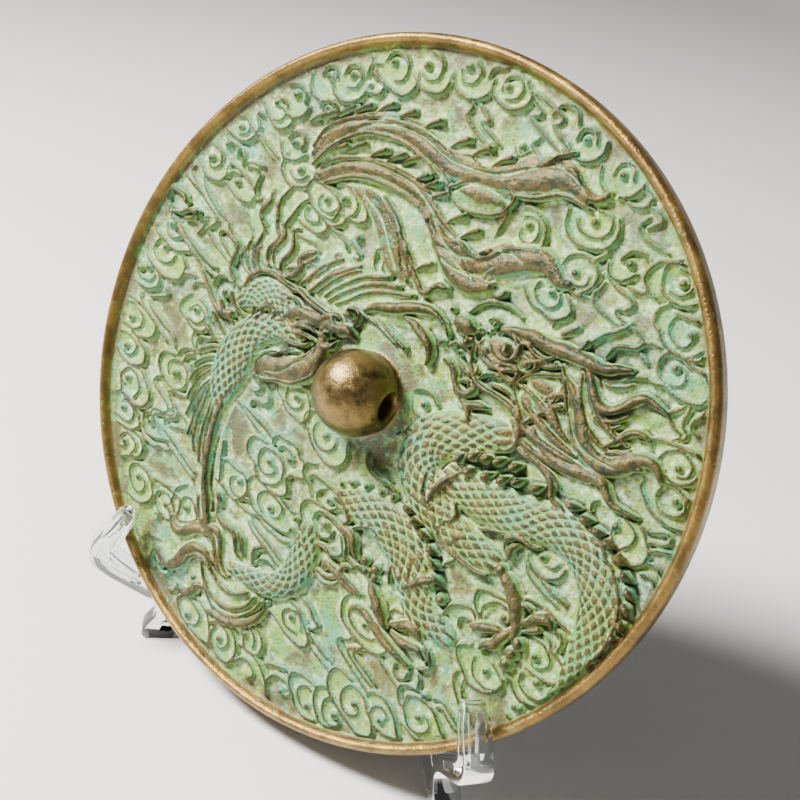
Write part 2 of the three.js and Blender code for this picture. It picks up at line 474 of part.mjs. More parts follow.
// From the panel plane to the shared frame: s runs outward and forward, z up, thickness across.
function placePanel(solid, side) {
  const g = toGeometry(solid);
  const a = rad(SPLAY);
  const seatV = -(DISC_R - 1.5) * Math.cos(rad(SEAT_ANGLE));
  const seatY = DISC_Y + seatV * Math.sin(rad(LEAN)) + 1.5 * Math.cos(rad(LEAN));
  const along = new THREE.Vector3(side * Math.sin(a), -Math.cos(a), 0);
  const up = new THREE.Vector3(0, 0, 1);
  const across = new THREE.Vector3().crossVectors(along, up);
  const m = new THREE.Matrix4().makeBasis(along, up, across);
  m.setPosition(side * SEAT_X, seatY, SEAT_Z);
  g.applyMatrix4(m);
  return g;
}

function placeMirror(solid) {
  const g = toGeometry(solid);
  g.rotateZ(rad(PATTERN_TURN));
  g.rotateX(rad(90 - LEAN));
  g.translate(0, DISC_Y, DISC_Z);
  return g;
}

function piece(name, geometry, color, roughness, metalness) {
  const material = new THREE.MeshStandardMaterial({ color, roughness, metalness });
  const mesh = new THREE.Mesh(geometry, material);
  mesh.name = name;
  return mesh;
}

const group = new THREE.Group();
group.name = 'dragon_phoenix_mirror';
group.add(piece('mirror', placeMirror(mirrorSolid()), 0x8a9a6a, 0.55, 0.5));
group.add(piece('stand_panel_left', placePanel(panel(-1), -1), 0xdfe6e6, 0.08, 0));
group.add(piece('stand_panel_right', placePanel(panel(1), 1), 0xdfe6e6, 0.08, 0));

export default group;
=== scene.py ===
import math
import re
from contextlib import contextmanager

import bmesh
import bpy
import numpy as np
from mathutils import Color, Matrix, Vector


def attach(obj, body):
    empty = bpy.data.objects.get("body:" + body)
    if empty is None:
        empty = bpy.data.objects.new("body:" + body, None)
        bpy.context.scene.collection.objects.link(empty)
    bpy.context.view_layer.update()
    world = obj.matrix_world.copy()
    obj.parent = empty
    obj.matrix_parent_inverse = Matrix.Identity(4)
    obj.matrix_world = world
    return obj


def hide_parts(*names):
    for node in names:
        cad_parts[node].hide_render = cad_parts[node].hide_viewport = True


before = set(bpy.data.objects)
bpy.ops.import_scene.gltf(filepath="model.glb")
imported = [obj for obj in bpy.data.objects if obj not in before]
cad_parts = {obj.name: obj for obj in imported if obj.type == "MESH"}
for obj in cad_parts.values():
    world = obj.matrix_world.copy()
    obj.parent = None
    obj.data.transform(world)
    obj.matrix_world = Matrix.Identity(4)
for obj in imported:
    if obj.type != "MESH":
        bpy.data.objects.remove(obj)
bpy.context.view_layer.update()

bl_info = {
    "name": "Dragon and phoenix mirror",
    "version": (1, 0, 0),
    "blender": (4, 5, 0),
    "location": "3D View > Sidebar > Mirror",
    "description": "Cast bronze mirror with patina, on a clear moulded plate stand",
    "category": "Object",
}

MM = 0.001

# Place of the disc in the shared frame
LEAN = math.radians(20)          # the disc leans back by this much
PATTERN_TURN = math.radians(-0.7)
DISC_Y = -5.4                    # mm, disc centre in front of the origin
DISC_Z = 101.0                   # mm, disc centre above the ground

# Knob and its cord hole, mm above the relief ground
KNOB_R = 12.2
KNOB_RISE = 6.0
CORD_R = 4.0
CORD_RISE = 6.2
MOUTH_R = 4.6                    # the hole's rounded mouth
KNOB_REACH = 15                  # everything of the knob is inside this radius

# Profile of the plate from the back round the rim, radius and height in mm. On the back's edge
# the third number divides the full number of points of a ring.
BACK_Z = -4.5
BACK_FLAT_R = 88
BACK_EDGE = ((89.5, -4.5, 8), (91.2, -4.52, 4), (92.4, -4.8, 2), (93.2, -5.0, 1), (97.6, -5.0, 1))
RIM = ((98.5, -4.95), (99.2, -4.6), (99.7, -4.1), (99.88, -3.5), (99.9, -2.5), (99.9, -1.5),
       (99.9, -0.5), (99.9, 0.4), (99.85, 1.1), (99.6, 1.75), (99.2, 2.3), (98.7, 2.65),
       (98.2, 2.78), (97.7, 2.62), (97.25, 2.2), (96.9, 1.6), (96.65, 0.95), (96.4, 0.4))
FIELD_OUTER_R = 96.1
FIELD_INNER_R = 15.2
FADE_AT_RIM = 1.4                # the relief fades out over this much inside the rim
FADE_AT_KNOB = 2.5               # and over this much outside FADE_INNER_R
FADE_INNER_R = 14.6
KNOB_FOOT = ((14.9, 0.02), (14.2, 0.12), (13.5, 0.3), (12.8, 0.55), (12.2, 0.85), (11.75, 1.25),
             (11.55, 1.75))

# Relief grid
FIELD_PITCH = 0.2                # mm
FIELD_HALF = 100.4               # mm
FIELD_COUNT = int(round(2 * FIELD_HALF / FIELD_PITCH)) + 1

# Relief sizes, mm
RELIEF_GAIN = 1.15               # height of the drawn relief against its listed heights
UNEVEN = 0.08                    # slow rise and fall of a casting
RIDGE_POWER = 0.62               # lower is flatter on top
BEAD_POWER = 0.55
BEAD = (1.45, 1.8)               # radius and height of a small bead
LOBE_FLOOR = 0.5                 # ground raised inside a cloud lobe
LOBE_SOFT = 0.9                  # width over which the edge of a floor falls
FLOOR_SOFT = 1.6
RUBBED_SOFT = 2.4
GROOVE_LEVEL = 1.1               # height from which a groove goes down
SCALE_RISE = 0.95                # scales above the body they lie on
PIT_R = 1.15
PIT_FLOOR = 0.05
SPIKE_TURN = math.radians(30)

# Cross sections along a stroke: its widths and heights at even steps, in mm
LINES = {
    "r": ((1.1, 1.55, 1.55), (1.2, 1.35, 1.35)),
    "o": ((1.2, 1.75, 1.75, 1.3), (1.3, 1.5, 1.5, 1.3)),
    "s": ((1.2, 1.9, 1.8, 1.1), (1.0, 1.25, 1.2, 0.9)),
}

# A barb's own points, and a spike's steps along its own direction, with widths and heights
BARB = ((-4.6, -3.4, -2, -1.2, 0.4, 0.1), (0.8, 1.6, 2.1), (1.6, 2.2, 2.6))
SPIKE = ((-1.7, -0.4, 2.2), (1.1, 3.0, 2.3, 0.7), (2.4, 3.9, 3.3, 2.0))

# Cross sections as shares of the width and height that the stroke lists
RIDGES = {
    "L": ((0.9, 1.15, 1.15, 0.9), (0.9, 1, 0.9)),
    "T": ((0.6, 1, 1.15), (0.7, 1)),
    "S": ((0.6, 1.2, 1.32, 1.1, 0.5), (0.72, 1, 1, 0.8)),
    "G": ((0.4, 0.5, 1), (0.75, 1)),
    "V": ((0.5, 1, 1), (1,)),
}

# Relief drawing, in mm in the plane of the disc, x right and y up. A stroke is a letter and its
# numbers, and may run over several lines.
# Kinds with set sizes, followed by their points:
#   b round bead, r thin ring line, o outer line of a cloud lobe with its raised floor,
#   s cloud streak, p drilled pit, h hooked barb, k spike.
# Kinds with sizes in front of the points:
#   L width height, an even ridge;  T width height, a ridge that grows from its start;
#   S width height, a ridge that swells in the middle;  G width height, a long taper;
#   B radius height, beads;  E length width turn height, a boss;
#   V width depth, a groove to the ground;  C width depth, a crease;
#   F height, a raised floor;  W height, a raised floor that is rubbed bare.

# Clouds along the top of the disc
CLOUDS_TOP = """
b -53 72.5 o -47.5 70 -49 67 -53 66 -57 68 r -57 74.5 -53.5 75.5 -50 74 -49.5 71
b -58.7 68.5 r -59.5 70 -56 69.8 -54.5 67 -56 64 -60 63.8 o -64.5 68 -60 64 -56 61.5 -52.5 63 -51.5 66
b -69 58.5 r -71 61.5 -68 62 -66 60 -66.5 57.5 -69 56.5 o -74 57 -68 55 -64.5 56 -62.5 59.5 -64.5 63
  b -72 52.5
o -74 57 -72.5 54 -68 53 -67.5 50 s -69 63 -65 60 -53 53.5 s -69.5 62.5 -62 57.5 -54.5 52.5
  r -65 63 -63.8 64.5 -62.5 63.5
b -36 82 r -39.2 81.5 -38 84.6 -34.8 84.8 -32.8 82 -34 79 -36.5 78.6
  o -42.5 82 -41 76.5 -36 74.5 -31.5 76.5 -29.5 81
b -43.5 80 r -46.5 80 -45 83 -42 82.5 -40.8 80 o -50 80 -48.5 75 -44 72.8 -39.5 74
b -24 88.5 r -27 88 -25 91.5 -20.5 90.5 -18.8 87.5 -19.6 84.6 -22 83.8
  o -32 89 -28 84 -23 81.5 -18 80.5 -15 84 -15.5 88
b -13.5 90 r -14.6 88 -12 86.3 -9 87.4 -8.6 90.6 -10.4 93.2 -13 94 o -17 87 -13 84 -8 83.5 -5.5 86 -5 90
b -29 84 r -31.5 83 -31 86.4 -28 87 o -30 79 -26 79 -24.4 82 b -1 92.5
  r -3 91.6 -1 88.4 2.2 89 3.2 92 1 94.4 o -5 90 -3 86.4 1 84.8 4.5 85 7.5 87.5 7.6 91
b -41 71 r -44 71 -42 73.6 -39 73 b -48.5 59 r -51.5 60 -49 62.6 -45.6 61 -45.4 57.6
  o -53.6 58 -51 54.6 -46.6 54.4 -43.6 57
b -43.5 52.5 o -50 56 -50.4 51 -46 47.6 -40 48.6 -38 52.6 b 12.5 90
r 10.6 89 11.4 92.6 14.8 93.4 16.8 90.8 15.6 87.8 12.8 87 o 7.5 89.5 9 87 14 84.8 18 86 20 89 17 93
  r 5.6 91 6.6 94 10 95
b 38.5 82.7 r 35.6 82 36.6 85.4 40 85.4 41.6 82.4 o 34 81 36 78 40 77.6 43.6 80 44 83.6 b 51 77
r 48.2 76.4 49.6 79.8 53 79.8 54 76.6 o 44.5 78 46 73.6 50 71.6 54.6 72.6 57 76 56.6 80
  s 56.5 75.5 59.8 74.5 59.6 71.6 56.5 70.5 52 72
b 48 64 r 48 67 52 66.4 52.6 62.6 49.4 60.4 45 61 43 63.6
  o 40 66 40.6 61.5 43.4 58.4 48 57.4 53 58.6 55 62.6 54 66.6
b 31 58.2 r 29 57 29.6 54.4 33 53.8 34.4 57 32.6 60.4 29 60 o 28 62 30 62.5 35 60 36.5 55 35 52 30 51.4
  s 22 56 24 59.4 22.5 52
b 47.5 50.5 r 51.4 51 51.5 48.8 49.5 47.6 47 48 o 43.4 52 45 54.6 49 55.4 53 53 53.4 49 50 45.6
  b 22 76.5 r 19.8 76 22 74 24.4 76
s 0 85 4 83 3 80.5 7 77 15 72 s 5 84.5 10 80.5 8 79.5 15.5 75 s 20 91 29.5 87 30 85 28 84
  s 20 89.5 24 86 21.5 84.5 24 82.5 33 77.5 s 28.5 83.5 35 79
r 27 86.4 29 89.6 33 89.4 35 86 r 4 69.6 8 70.6 11.6 69 s 26 80.4 24.4 77.4 30 74.6
s 60 71.5 63 71 64.5 69 61.5 66.5 s 61 69 59.5 66.5 62 64 69 62 b 75 56.5
  r 73 59.8 76.4 59 77.6 56 75.6 53.6 72.4 54 o 69.5 57 70.4 53.8 73 52 77 51.6 80.4 53.4
r 69.4 56.4 69.8 60 73 61.8 o 74 61 68 60 65.3 56 67 52.6 70 51 b 60.5 57
  r 65 58.5 62.6 60.6 59.6 60 58 57.4 o 63 55 60 52.5 56.4 53 55 56 s 50 54 54 58 50.4 61
  s 62 51.5 65 51 67.5 52
"""

# Clouds from the upper left in toward the knob
CLOUDS_UPPER_LEFT = """
b -76.6 47.2 r -78.4 51.5 -74.2 50 -72.6 46.5 -75.5 44.5 -77.8 47.2 o -81.7 45.7 -79.4 43.8 -77 41.8
  -74 41.3 -71 41.5 -69.4 43.8 -69.8 46.5
s -82.5 43.4 -83 41.5 -80.9 39.5 -76.3 36 -70.2 32.2 -68.2 30.3 -68.2 29 -70.5 26.5 -68.6 24.7
  -62.5 21.1 -58.6 19.2 s -77 41.8 -77.3 40.3 -75.5 38 -70.5 34.2 -64 30.7
  s -84.8 40 -79.4 37.2 -77.1 35.7
b -64.6 42.8 r -65.2 45.3 -67.1 45.5 -68.8 44.3 o -69 41.8 -67.1 40.7 -64 39.2 -60.9 38.2 -58.2 38.4
  -56.6 41 r -69.8 47.6 -66.3 47 -63.2 45.7 -59.8 44 -57.8 43
r -63.2 49.2 -60.5 49.9 -57 49.7 r -62.5 47.8 -61.3 48.6 -59 48.4 s -64.8 48 -65.2 50.7 -66.3 53
b -84 24 r -86.7 23.8 -85.5 21.5 -82.8 20.1 -80.5 20.7 -79 22.2 o -90.7 22.2 -89.8 20.3 -87 19.5
  -84.8 18.6 -82.5 17.4 -79.4 16.8 -76.3 17.6 -74.4 18.4
b -84.2 16.5 r -87.5 18.4 -88.6 16.8 -88.8 14.9 -87 13 -84.8 12 -82 12 -80.2 13.4 -79.6 15.3
  o -92.5 15.3 -91.7 13.4 -89.8 11.5 -87 9.9 -84 8.8 -80.9 8 -77.8 8.2 -75.5 9 -74.4 12.6 -75.5 14.5
  -77 16
b -92 7.4 -88.6 8.6 r -86.3 8.4 -85.5 6.8 -86.3 5.3 -88.6 4.7 -91.3 5.3 -92.8 6.5 o -93.6 4.2 -91.7 3
  -89 2.4 -86.3 2.4 -84 3.4 -82.8 4.5 -83.2 6.8 -84.4 8.4
  r -84.8 0.3 -82.5 1 -79.8 1.8 -78.2 2.6 -78.6 3.8 -79.6 4.8
b -65.5 2.2 r -68.6 1.5 -65.5 4 -61.5 1.6 -64 -1.5 -67.6 -0.8 o -69.4 6.1 -72 3.4 -71.7 0.3 -70.2 -0.3
  -67 -2.2 -64 -3.4 -60.4 -2.6 -59.8 1 -62.5 4.5 -65.5 5.7
s -75.2 10.3 -73.6 11.5 -71.3 11.8 -69 11.5 s -69.8 8.4 -69 9.9 -66.7 10.7 -64 10.3
b -43.8 52.2 r -47.6 51.5 -45.3 49.7 -42.6 49.7 -40.7 51.5
o -39.5 48 -39.7 49.9 -38 51.1 -35 50.7 -31.8 50.1 -29.5 49.3 -28 48 -26.8 46 -26.8 44.2 -28 42
  -31.8 42.4 -36 44.2 -39.5 48 b -31.7 46.8 r -33.8 48 -34.5 46.5 -33.8 44.5 -31.5 43.4 -29.2 43.8
  -27.2 45.7 -27.5 48
o -39.5 48 -37.6 45.7 -36 44.2 -33.8 43 -30 41 -28 40.3 -25.7 41 -24.2 42.2 -23.8 43.8 -25.3 44.5
  b -26 48.6 r -30 51.8 -28 52.6 -25.3 52.2 -22.6 50.3 -21 48 -21.5 45.7 -23.4 44.2
o -22.2 53 -19.5 49.9 -17.6 47.6 -16.8 45.3 -18.4 44 -20.7 43.6 -22.8 44 r -37.6 43.4 -38 41.5
  -36.5 39.7 -34.2 39.5 -32.2 40.3 -32.6 41.5 o -39.5 39.2 -37.6 38 -35 37.6 -32.2 37 -30 37.6
  -28.8 39.5 -30.3 41
r -20 38.4 -18 37.2 -16.5 36 -15.3 35.3 -15.7 34.2 -17.2 34.2
  r -28 39.5 -24.2 38.8 -21.5 37.2 -20.3 35.7 b -22.6 33 -17.6 39.7
  r -8.8 33 -10 34.2 -10.7 36.5 -10.5 38.4 -8.8 39.5 -5 39.7 r -7.2 33.8 -7.2 36 -5.7 37.2
"""

# Clouds on the right
CLOUDS_RIGHT = """
b 43.4 43.8 r 39.3 46 38.4 43.8 39.5 41.5 41.8 40.3 44.5 40.3 46 41.8 45.7 44.2 o 35 43.4 36.5 41.5
  38.8 39.5 41.8 38.8 44.2 37.8 46.5 37.6 49.2 39.2 50 41 48.8 43 47.2 44.5
  s 48 38.4 46.8 37.2 46.5 35.7 s 47.6 46 50 45.5 53 45.7
s 54.8 53 59 50.7 63.2 49.2 64.8 47.6 63.6 46 61.7 45.7 61.3 44.5 63.2 43.4 65.5 43
  s 55.9 50.7 55.2 48.8 54.2 47.2 54.8 45.3 57 43.8 62.5 41.8 L 2.4 1.2 49.8 35 53.4 38
b 81.3 45.7 r 76.5 49.5 75.5 47.2 75.5 45.3 77 43.4 79.4 42.2 81.3 42.6 82 44.5 81.3 46 o 73.2 50.7
  71.3 48.8 71.5 45.7 73.6 43.8 75.2 41.8 77.5 40.7 82 40 85 42.6 r 75.5 49.5 79 49.3 82 49.2
  r 86 41.8 85 40.3 82.8 40
b 80.5 36.8 r 81 37.6 82.8 37.2 83.8 35.3 83.2 33.4 81.3 32.8 78.6 33 76.7 34.5 76.1 36.8 76.7 39.2
  79.4 40.3 81.7 39.7 84.4 38.6 88.6 37.6 s 71 39.5 72.8 40.5 76 40 s 71 37.2 73.6 35
o 72 31.5 74.4 32.2 76.7 31.7 79.4 32 81.7 31 84.4 30.3 87 30.3 89.8 31 90.4 34 88 38
  r 64.4 27.6 67.5 28.4 69.8 29.9 72 31.5 74.4 32.2 s 65.2 26.8 69 27.6 72 29.5
s 86.3 30 86 28.8 83.6 26.8 83.4 25.3 85.2 23.4 87 22.6 87.5 21.5 86 20.3
  s 87.5 29.5 87 26 87.5 24.2 89 22.6 88.2 21 s 91 30 90.5 28 89.2 26.5 89.4 24.5 91.3 23.4
b 90 14.5 r 84.4 15 85.5 17.2 87.8 18.4 90.2 18.4 92.5 16.8 93.2 15 92.5 13 90.5 12.6 o 81.3 18.8
  83.6 19.5 86.7 19.5 90.5 19.5 93.2 19.2 95.2 17.6 94.6 13 90 10.8 85 13
b 92.3 6.8 r 87.8 9.2 87 6.8 88.2 4.2 90.5 3 93.2 3.4 95 5.3 94.4 7.6 o 82.5 8.8 82.8 6.8 84.8 4.5
  86.7 2.6 89.4 1.3 93.2 0.5 96 0.7 r 87.5 10 91.3 10 94.4 8.4 96 8.2
"""

# Clouds on the left
CLOUDS_LEFT = """
s -89 0.5 -87.8 -2.2 -84.8 -4.2 -77.8 -8 -74 -10.7 s -84.8 -1 -82.5 -3 -76.3 -6 -71.7 -8.4 -69.8 -11.5
b -89.6 -8.2 r -93.4 -3.8 -90.5 -3.6 -87.5 -5 -85.2 -6.5 -84.8 -8.4 -85.5 -10.3 -87.5 -11.3 o -93 -2
  -86 -3.6 -80.9 -6 -79 -7.6 -78.8 -10 -80.2 -11.8 -83.6 -12.6 -88 -12.4
b -88.4 -17.2 r -92.8 -13.8 -90.5 -13.2 -87.5 -13.8 -85.2 -15 -84.2 -16.8 -85.2 -19 -87 -19.7 -89 -18.8
  o -92.8 -10.7 -89.8 -11 -86.7 -12.2 -83.6 -14.2 -80.9 -16 -79.6 -18.4 -80.2 -20.7 -82.5 -21.7
  -85.2 -22 -88.6 -21 -90.9 -20 -92 -18.4
b -84.2 -26.7 r -84.8 -28.8 -87 -27.2 -87 -25.3 -85.5 -23.6 -83.6 -23.4 -81.3 -24.3 -79.4 -26.5
  -78.4 -28.8 -79.8 -31.5 o -82 -22 -79.8 -22.6 -77.8 -24.5 -75.5 -26.5 -73.6 -29.2 -74 -31.5 -75.5 -33
  -77.5 -33.4 -84 -32 -88 -26
b -82.6 -35.9 r -83.6 -35.7 -83.8 -34.3 -82.5 -33.4 -80.2 -33.8 -78.2 -35.3 -77.5 -37.2 -78.2 -38.8
  -80.2 -39.5 -84.8 -38.6 o -87.5 -32.6 -85.5 -31.3 -82.5 -31.7 -79.8 -33 -77 -35 -75.2 -36.8 -74 -38.8
  -75.2 -40.3 -77.5 -41.3 -83.6 -41
b -78 -45.7 r -81 -45 -79.8 -43.4 -77.5 -42.8 -75.2 -43.6 -73.6 -45 -73.4 -46.8 -74.4 -48.4
  r -80.2 -47.6 -78.2 -47.6 -77 -46.5 o -79 -41.8 -75.2 -41.5 -72.5 -42.2 -70.5 -44.2 -70.2 -46.5
  -71.3 -48.4 -74 -49 -78.2 -50.7
r -61.3 -4.7 -58.6 -4.5 -56.3 -3.8 -53.2 -2.6 -50 -2.4 s -64.4 -4.2 -64 -6.5 -62.5 -8.4 -60 -11
  s -61.7 -5 -62 -7.2 -60.2 -9.5
b -66.5 -18.6 r -69 -19.5 -70 -17.6 -69.8 -15.7 -67.8 -14.5 -65.5 -14.5 -63.2 -15.7 -61.7 -17.6
  -61.3 -20.3 -62.8 -22.6 -65.5 -23.4 o -65.5 -23.4 -68.2 -22.6 -70.5 -21 -72.8 -19.2 -74 -16.8
  -73.8 -14.5 -72 -13.4 -69.4 -13.4
r -67.8 -13.4 -67.5 -11.5 -65.5 -10 -63.2 -9.5 -61.3 -10.3 -59.8 -11.5
  r -65 -14.5 -64.4 -12.2 -62.5 -11 -60 -11.3 b -60.7 -14.2 s -67.5 -24.5 -63.6 -24.2 -58.2 -24.2
s -69.4 -21.8 -72 -21.5 -73.6 -22.6 -73.2 -24.5 -66 -28.8 -65.2 -30.7 -67 -31.5 -69.8 -31.5 -71 -32.6
  -70.5 -34.5 -63.6 -38.8 -49 -46.5 s -67.5 -24.5 -63.6 -28.8 -62.8 -31 -68.6 -32.6 -69.4 -34.5
  -61.7 -37.6 -49 -44.5
s -63.6 -27.6 -61.7 -29.2 -61.7 -31.5 -64 -32.6 -65.2 -34.2 -63.6 -34.5 -59 -33.8 -57.5 -32.6
  -57.8 -30.7 -62 -28.8 p -58 -32.4 -64 -34.2
b -70.5 -36 r -72.5 -33.4 -73.6 -34.5 -73.6 -36.5 -72 -38.8 -69.8 -40 -67 -40 -62 -39 r -73.2 -39.5
  -71.7 -41.5 -69 -42.2 -66.7 -42.6 -64 -41.8 -61.3 -42.2 -59.4 -41
"""

# Clouds round and below the knob
CLOUDS_MIDDLE = """
r -35.3 -9.2 -34.2 -10.3 -34.5 -12.2 -36 -13 -37.2 -12.6 r -32.2 -10.7 -30.7 -12.2 -30 -13.8 -31.5 -15.3
  -33.8 -15.3 -35.7 -15.7 -36 -17.2
b -21.3 -9.2 r -19.5 -8.8 -18.8 -10.3 -19.5 -12 -21.5 -12.6 -23.8 -11.8 -25 -10 -25 -7.6 o -29.2 -8
  -28 -10 -26 -11.3 -24.5 -13 -22.2 -14.2 -19.5 -14.7 -16.8 -15.5 -15.3 -12 -17.2 -8
  r -22.2 -5.3 -19.5 -6 -17.2 -8 -15.7 -10
b -8 -16 r -12.2 -13.4 -12.6 -15.7 -11.5 -18 -9.5 -19.5 -7.2 -20 -5 -19.2 -4 -17.2 -4.5 -15.3
  o -14.2 -10.7 -16 -11.5 -16.7 -13.4 -15.7 -15.3 -14.2 -16.5 -12.6 -18.8 -10.3 -20.7 -7.6 -22.2
  -4.5 -23.2 -1.5 -22.6 0.5 -20.7 0.5 -18 -0.7 -15.7
L 1.8 1.5 -41 -18 -37.6 -18.4 -33.8 -19.5 -30 -20.7 -25.3 -23.4 s -38.8 -18.8 -35.7 -20.7 -29.2 -24.2
b -23.4 -30.3 r -21.8 -30.7 -20.9 -31.8 -21.5 -33.4 -23.8 -34.2 -26 -33.4 -27.4 -31.5 -27.8 -29.2
  -26.8 -27.2 -24.5 -26.7 -21.8 -27.2 -19.5 -28.8 -18 -30.7 -17.6 -33.4 o -17.6 -33.4 -19.2 -35.7
  -22.2 -36.8 -25.3 -36.5 -27.2 -34.5 -28.4 -32.6 -30.7 -31.5 -32.2 -30 -32.8 -27.6 -31.8 -25.7
  -29.5 -25.1 -26.8 -25.7
b -16.8 -27.2 r -22.2 -25.7 -20.7 -24.3 -18.4 -24.5 -16.8 -25.7 o -24.5 -25 -24.5 -23 -22.6 -21.8
  -20 -22.2 -17.2 -22.2 -15.3 -23.4 -14.2 -25 -11.8 -25.7 o -25.3 -36.5 -22.2 -37.6 -19.2 -38.2 -16 -38
  -14.5 -36.5 -15.3 -34.2 -16 -32.6 -15 -31 -12.6 -30.7 -10.3 -30.3 -11.5 -28.4 -11.7 -26.5 -10.7 -25.3
  -8.4 -25.1
b -0.1 -32.6 r -3 -30.3 -4.5 -31.5 -4.5 -33.4 -2.6 -35 1 -35 3 -33.5 1.8 -31.8
  o -8.8 -29.5 -8 -28 -5.3 -28 -1.8 -28.6 2 -29.2 r -8.8 -30.3 -7.6 -32.2 -5.7 -34.2
b 1 -39.7 r 4 -40.3 3.4 -42.6 0.8 -43.4 -1.5 -42.2 -3.2 -40.3 -3.4 -38 -1.8 -36.8 1 -36.6 o -6.3 -42.2
  -7.2 -40.7 -8.4 -38.8 -8.2 -36.5 -6.5 -35 -3.8 -35 -0.7 -35.5
b -31.5 -40 r -32.2 -39 -34.5 -39.5 -35 -41 -33.8 -43 -31.5 -44.2 -28.4 -44.2 -26.5 -43.8 o -39.7 -36
  -37.6 -35.7 -35.7 -36.5 -33 -37 -30 -37.6 -28 -42 -31 -45.8 -35 -44.4 -40.3 -42.6 r -40.3 -42.6
  -37.6 -42.8 -35 -44.2 -31.5 -45.7 -28 -46.8 -24.5 -47.2 -22.2 -46.8
b -18.4 -43 r -18.4 -43.8 -17.2 -45 -15.3 -44.5 -14.2 -42.6 -15 -40.7 -17.2 -39.5 -20 -38.8 -22.2 -39.2
  -23.6 -40.7 -23.4 -42.6 -21.8 -44.2 -20.7 -45.3 o -26 -35.9 -28 -36.8 -28.8 -39.2 -28 -41 -26 -43
  -24.2 -45 -21.5 -46 -18.4 -46.8 -15.3 -47.4 -12.2 -47.6 -10 -47 -8.2 -45.7
r -16 -38.8 -13.8 -39.3 -11.8 -40.7 -10.3 -41 r -21.5 -46.8 -19.5 -48.4 -16 -49 -12.6 -50 -9.5 -50
r 6.8 -16 7.6 -18.4 9.5 -20 12.6 -20.7 16 -20.7 18.8 -21.8 r 9.5 -16.8 10.7 -18.4 13.4 -19 16.5 -19.5
o 44.2 -46.8 45.7 -43.4 48.4 -41.8 51.8 -41.5 54 -44 r 49.5 -47.6 49.2 -45.3 51 -44.3 53 -44.5
  r 51.5 -38.8 51.8 -36 53 -35 s 42.6 -31 41.8 -32.2 39.5 -34.2 r 13.8 5.3 15 6.8 17.2 7.6 20 7.2 22.6 5
  b 18.8 3.8 r 14.5 2.6 16 1 18.8 0.3
"""

# Clouds between the dragon's coils and the rim
CLOUDS_LOWER_RIGHT = """
b 80.5 -5 r 81.7 -2.2 84.4 -3.4 86 -5.3 85.5 -7.6 83.6 -9.5 r 72.8 -3.8 72.7 -1.8 74 -0.7 o 86 -2.2
  87.8 -3.8 89.4 -6 90.5 -8 90.2 -10 89 -11.5 87 -12.2 83 -10 80 -7 80.6 -3
r 86 -2.2 89.4 -2.6 92 -1.5 93.6 -1.5 94.4 -3 92.8 -4.5 89.8 -5 r 90.5 -7.2 92.8 -6 95.5 -5.7
  r 91 -10 93.6 -10.3 95.5 -11.8 r 90.2 -13.4 91.7 -13 93.6 -13.4 94.8 -15
b 65.3 -20.3 r 66.7 -22 69 -21.8 70 -20.3 o 61.3 -20.7 62 -22.6 64.4 -24.2 67 -25 69.8 -24.5 71.7 -22.6
  72 -20.7 s 61.5 -23 62.5 -25.3 65.2 -27.2 70.5 -29.5 73.2 -30.7 s 66.7 -26 69.8 -27.2 75.2 -29.2
s 64.4 -32.2 67 -31.8 70.2 -32.2 73.6 -33.4 76.7 -34.2 82 -36 r 74.4 -36 76.7 -36.5 77.8 -38.4 77.5 -41
  r 79.4 -36.5 81.3 -38 82.5 -40
b 72.7 -45 r 71.7 -45.3 72.5 -47.2 74.4 -47.4 76.5 -46 76.7 -44.2 75.5 -42.6 73.6 -41 71.3 -40.5
  o 72.8 -38.4 74.8 -39.5 76 -41.5 78.6 -42.6 80.5 -44.2 81 -46.5 80.2 -48.8 77.5 -49.5 74 -49.3
  71 -48.8
r 54.8 -42.2 54.4 -39.5 56 -37.6 58.2 -36.5 61 -36.8 62 -38 b 61 -39.5 o 55.2 -42.6 52.8 -40.7
  51.5 -38.4 51.7 -35.7 53.6 -35 56.7 -35 60.5 -35
"""

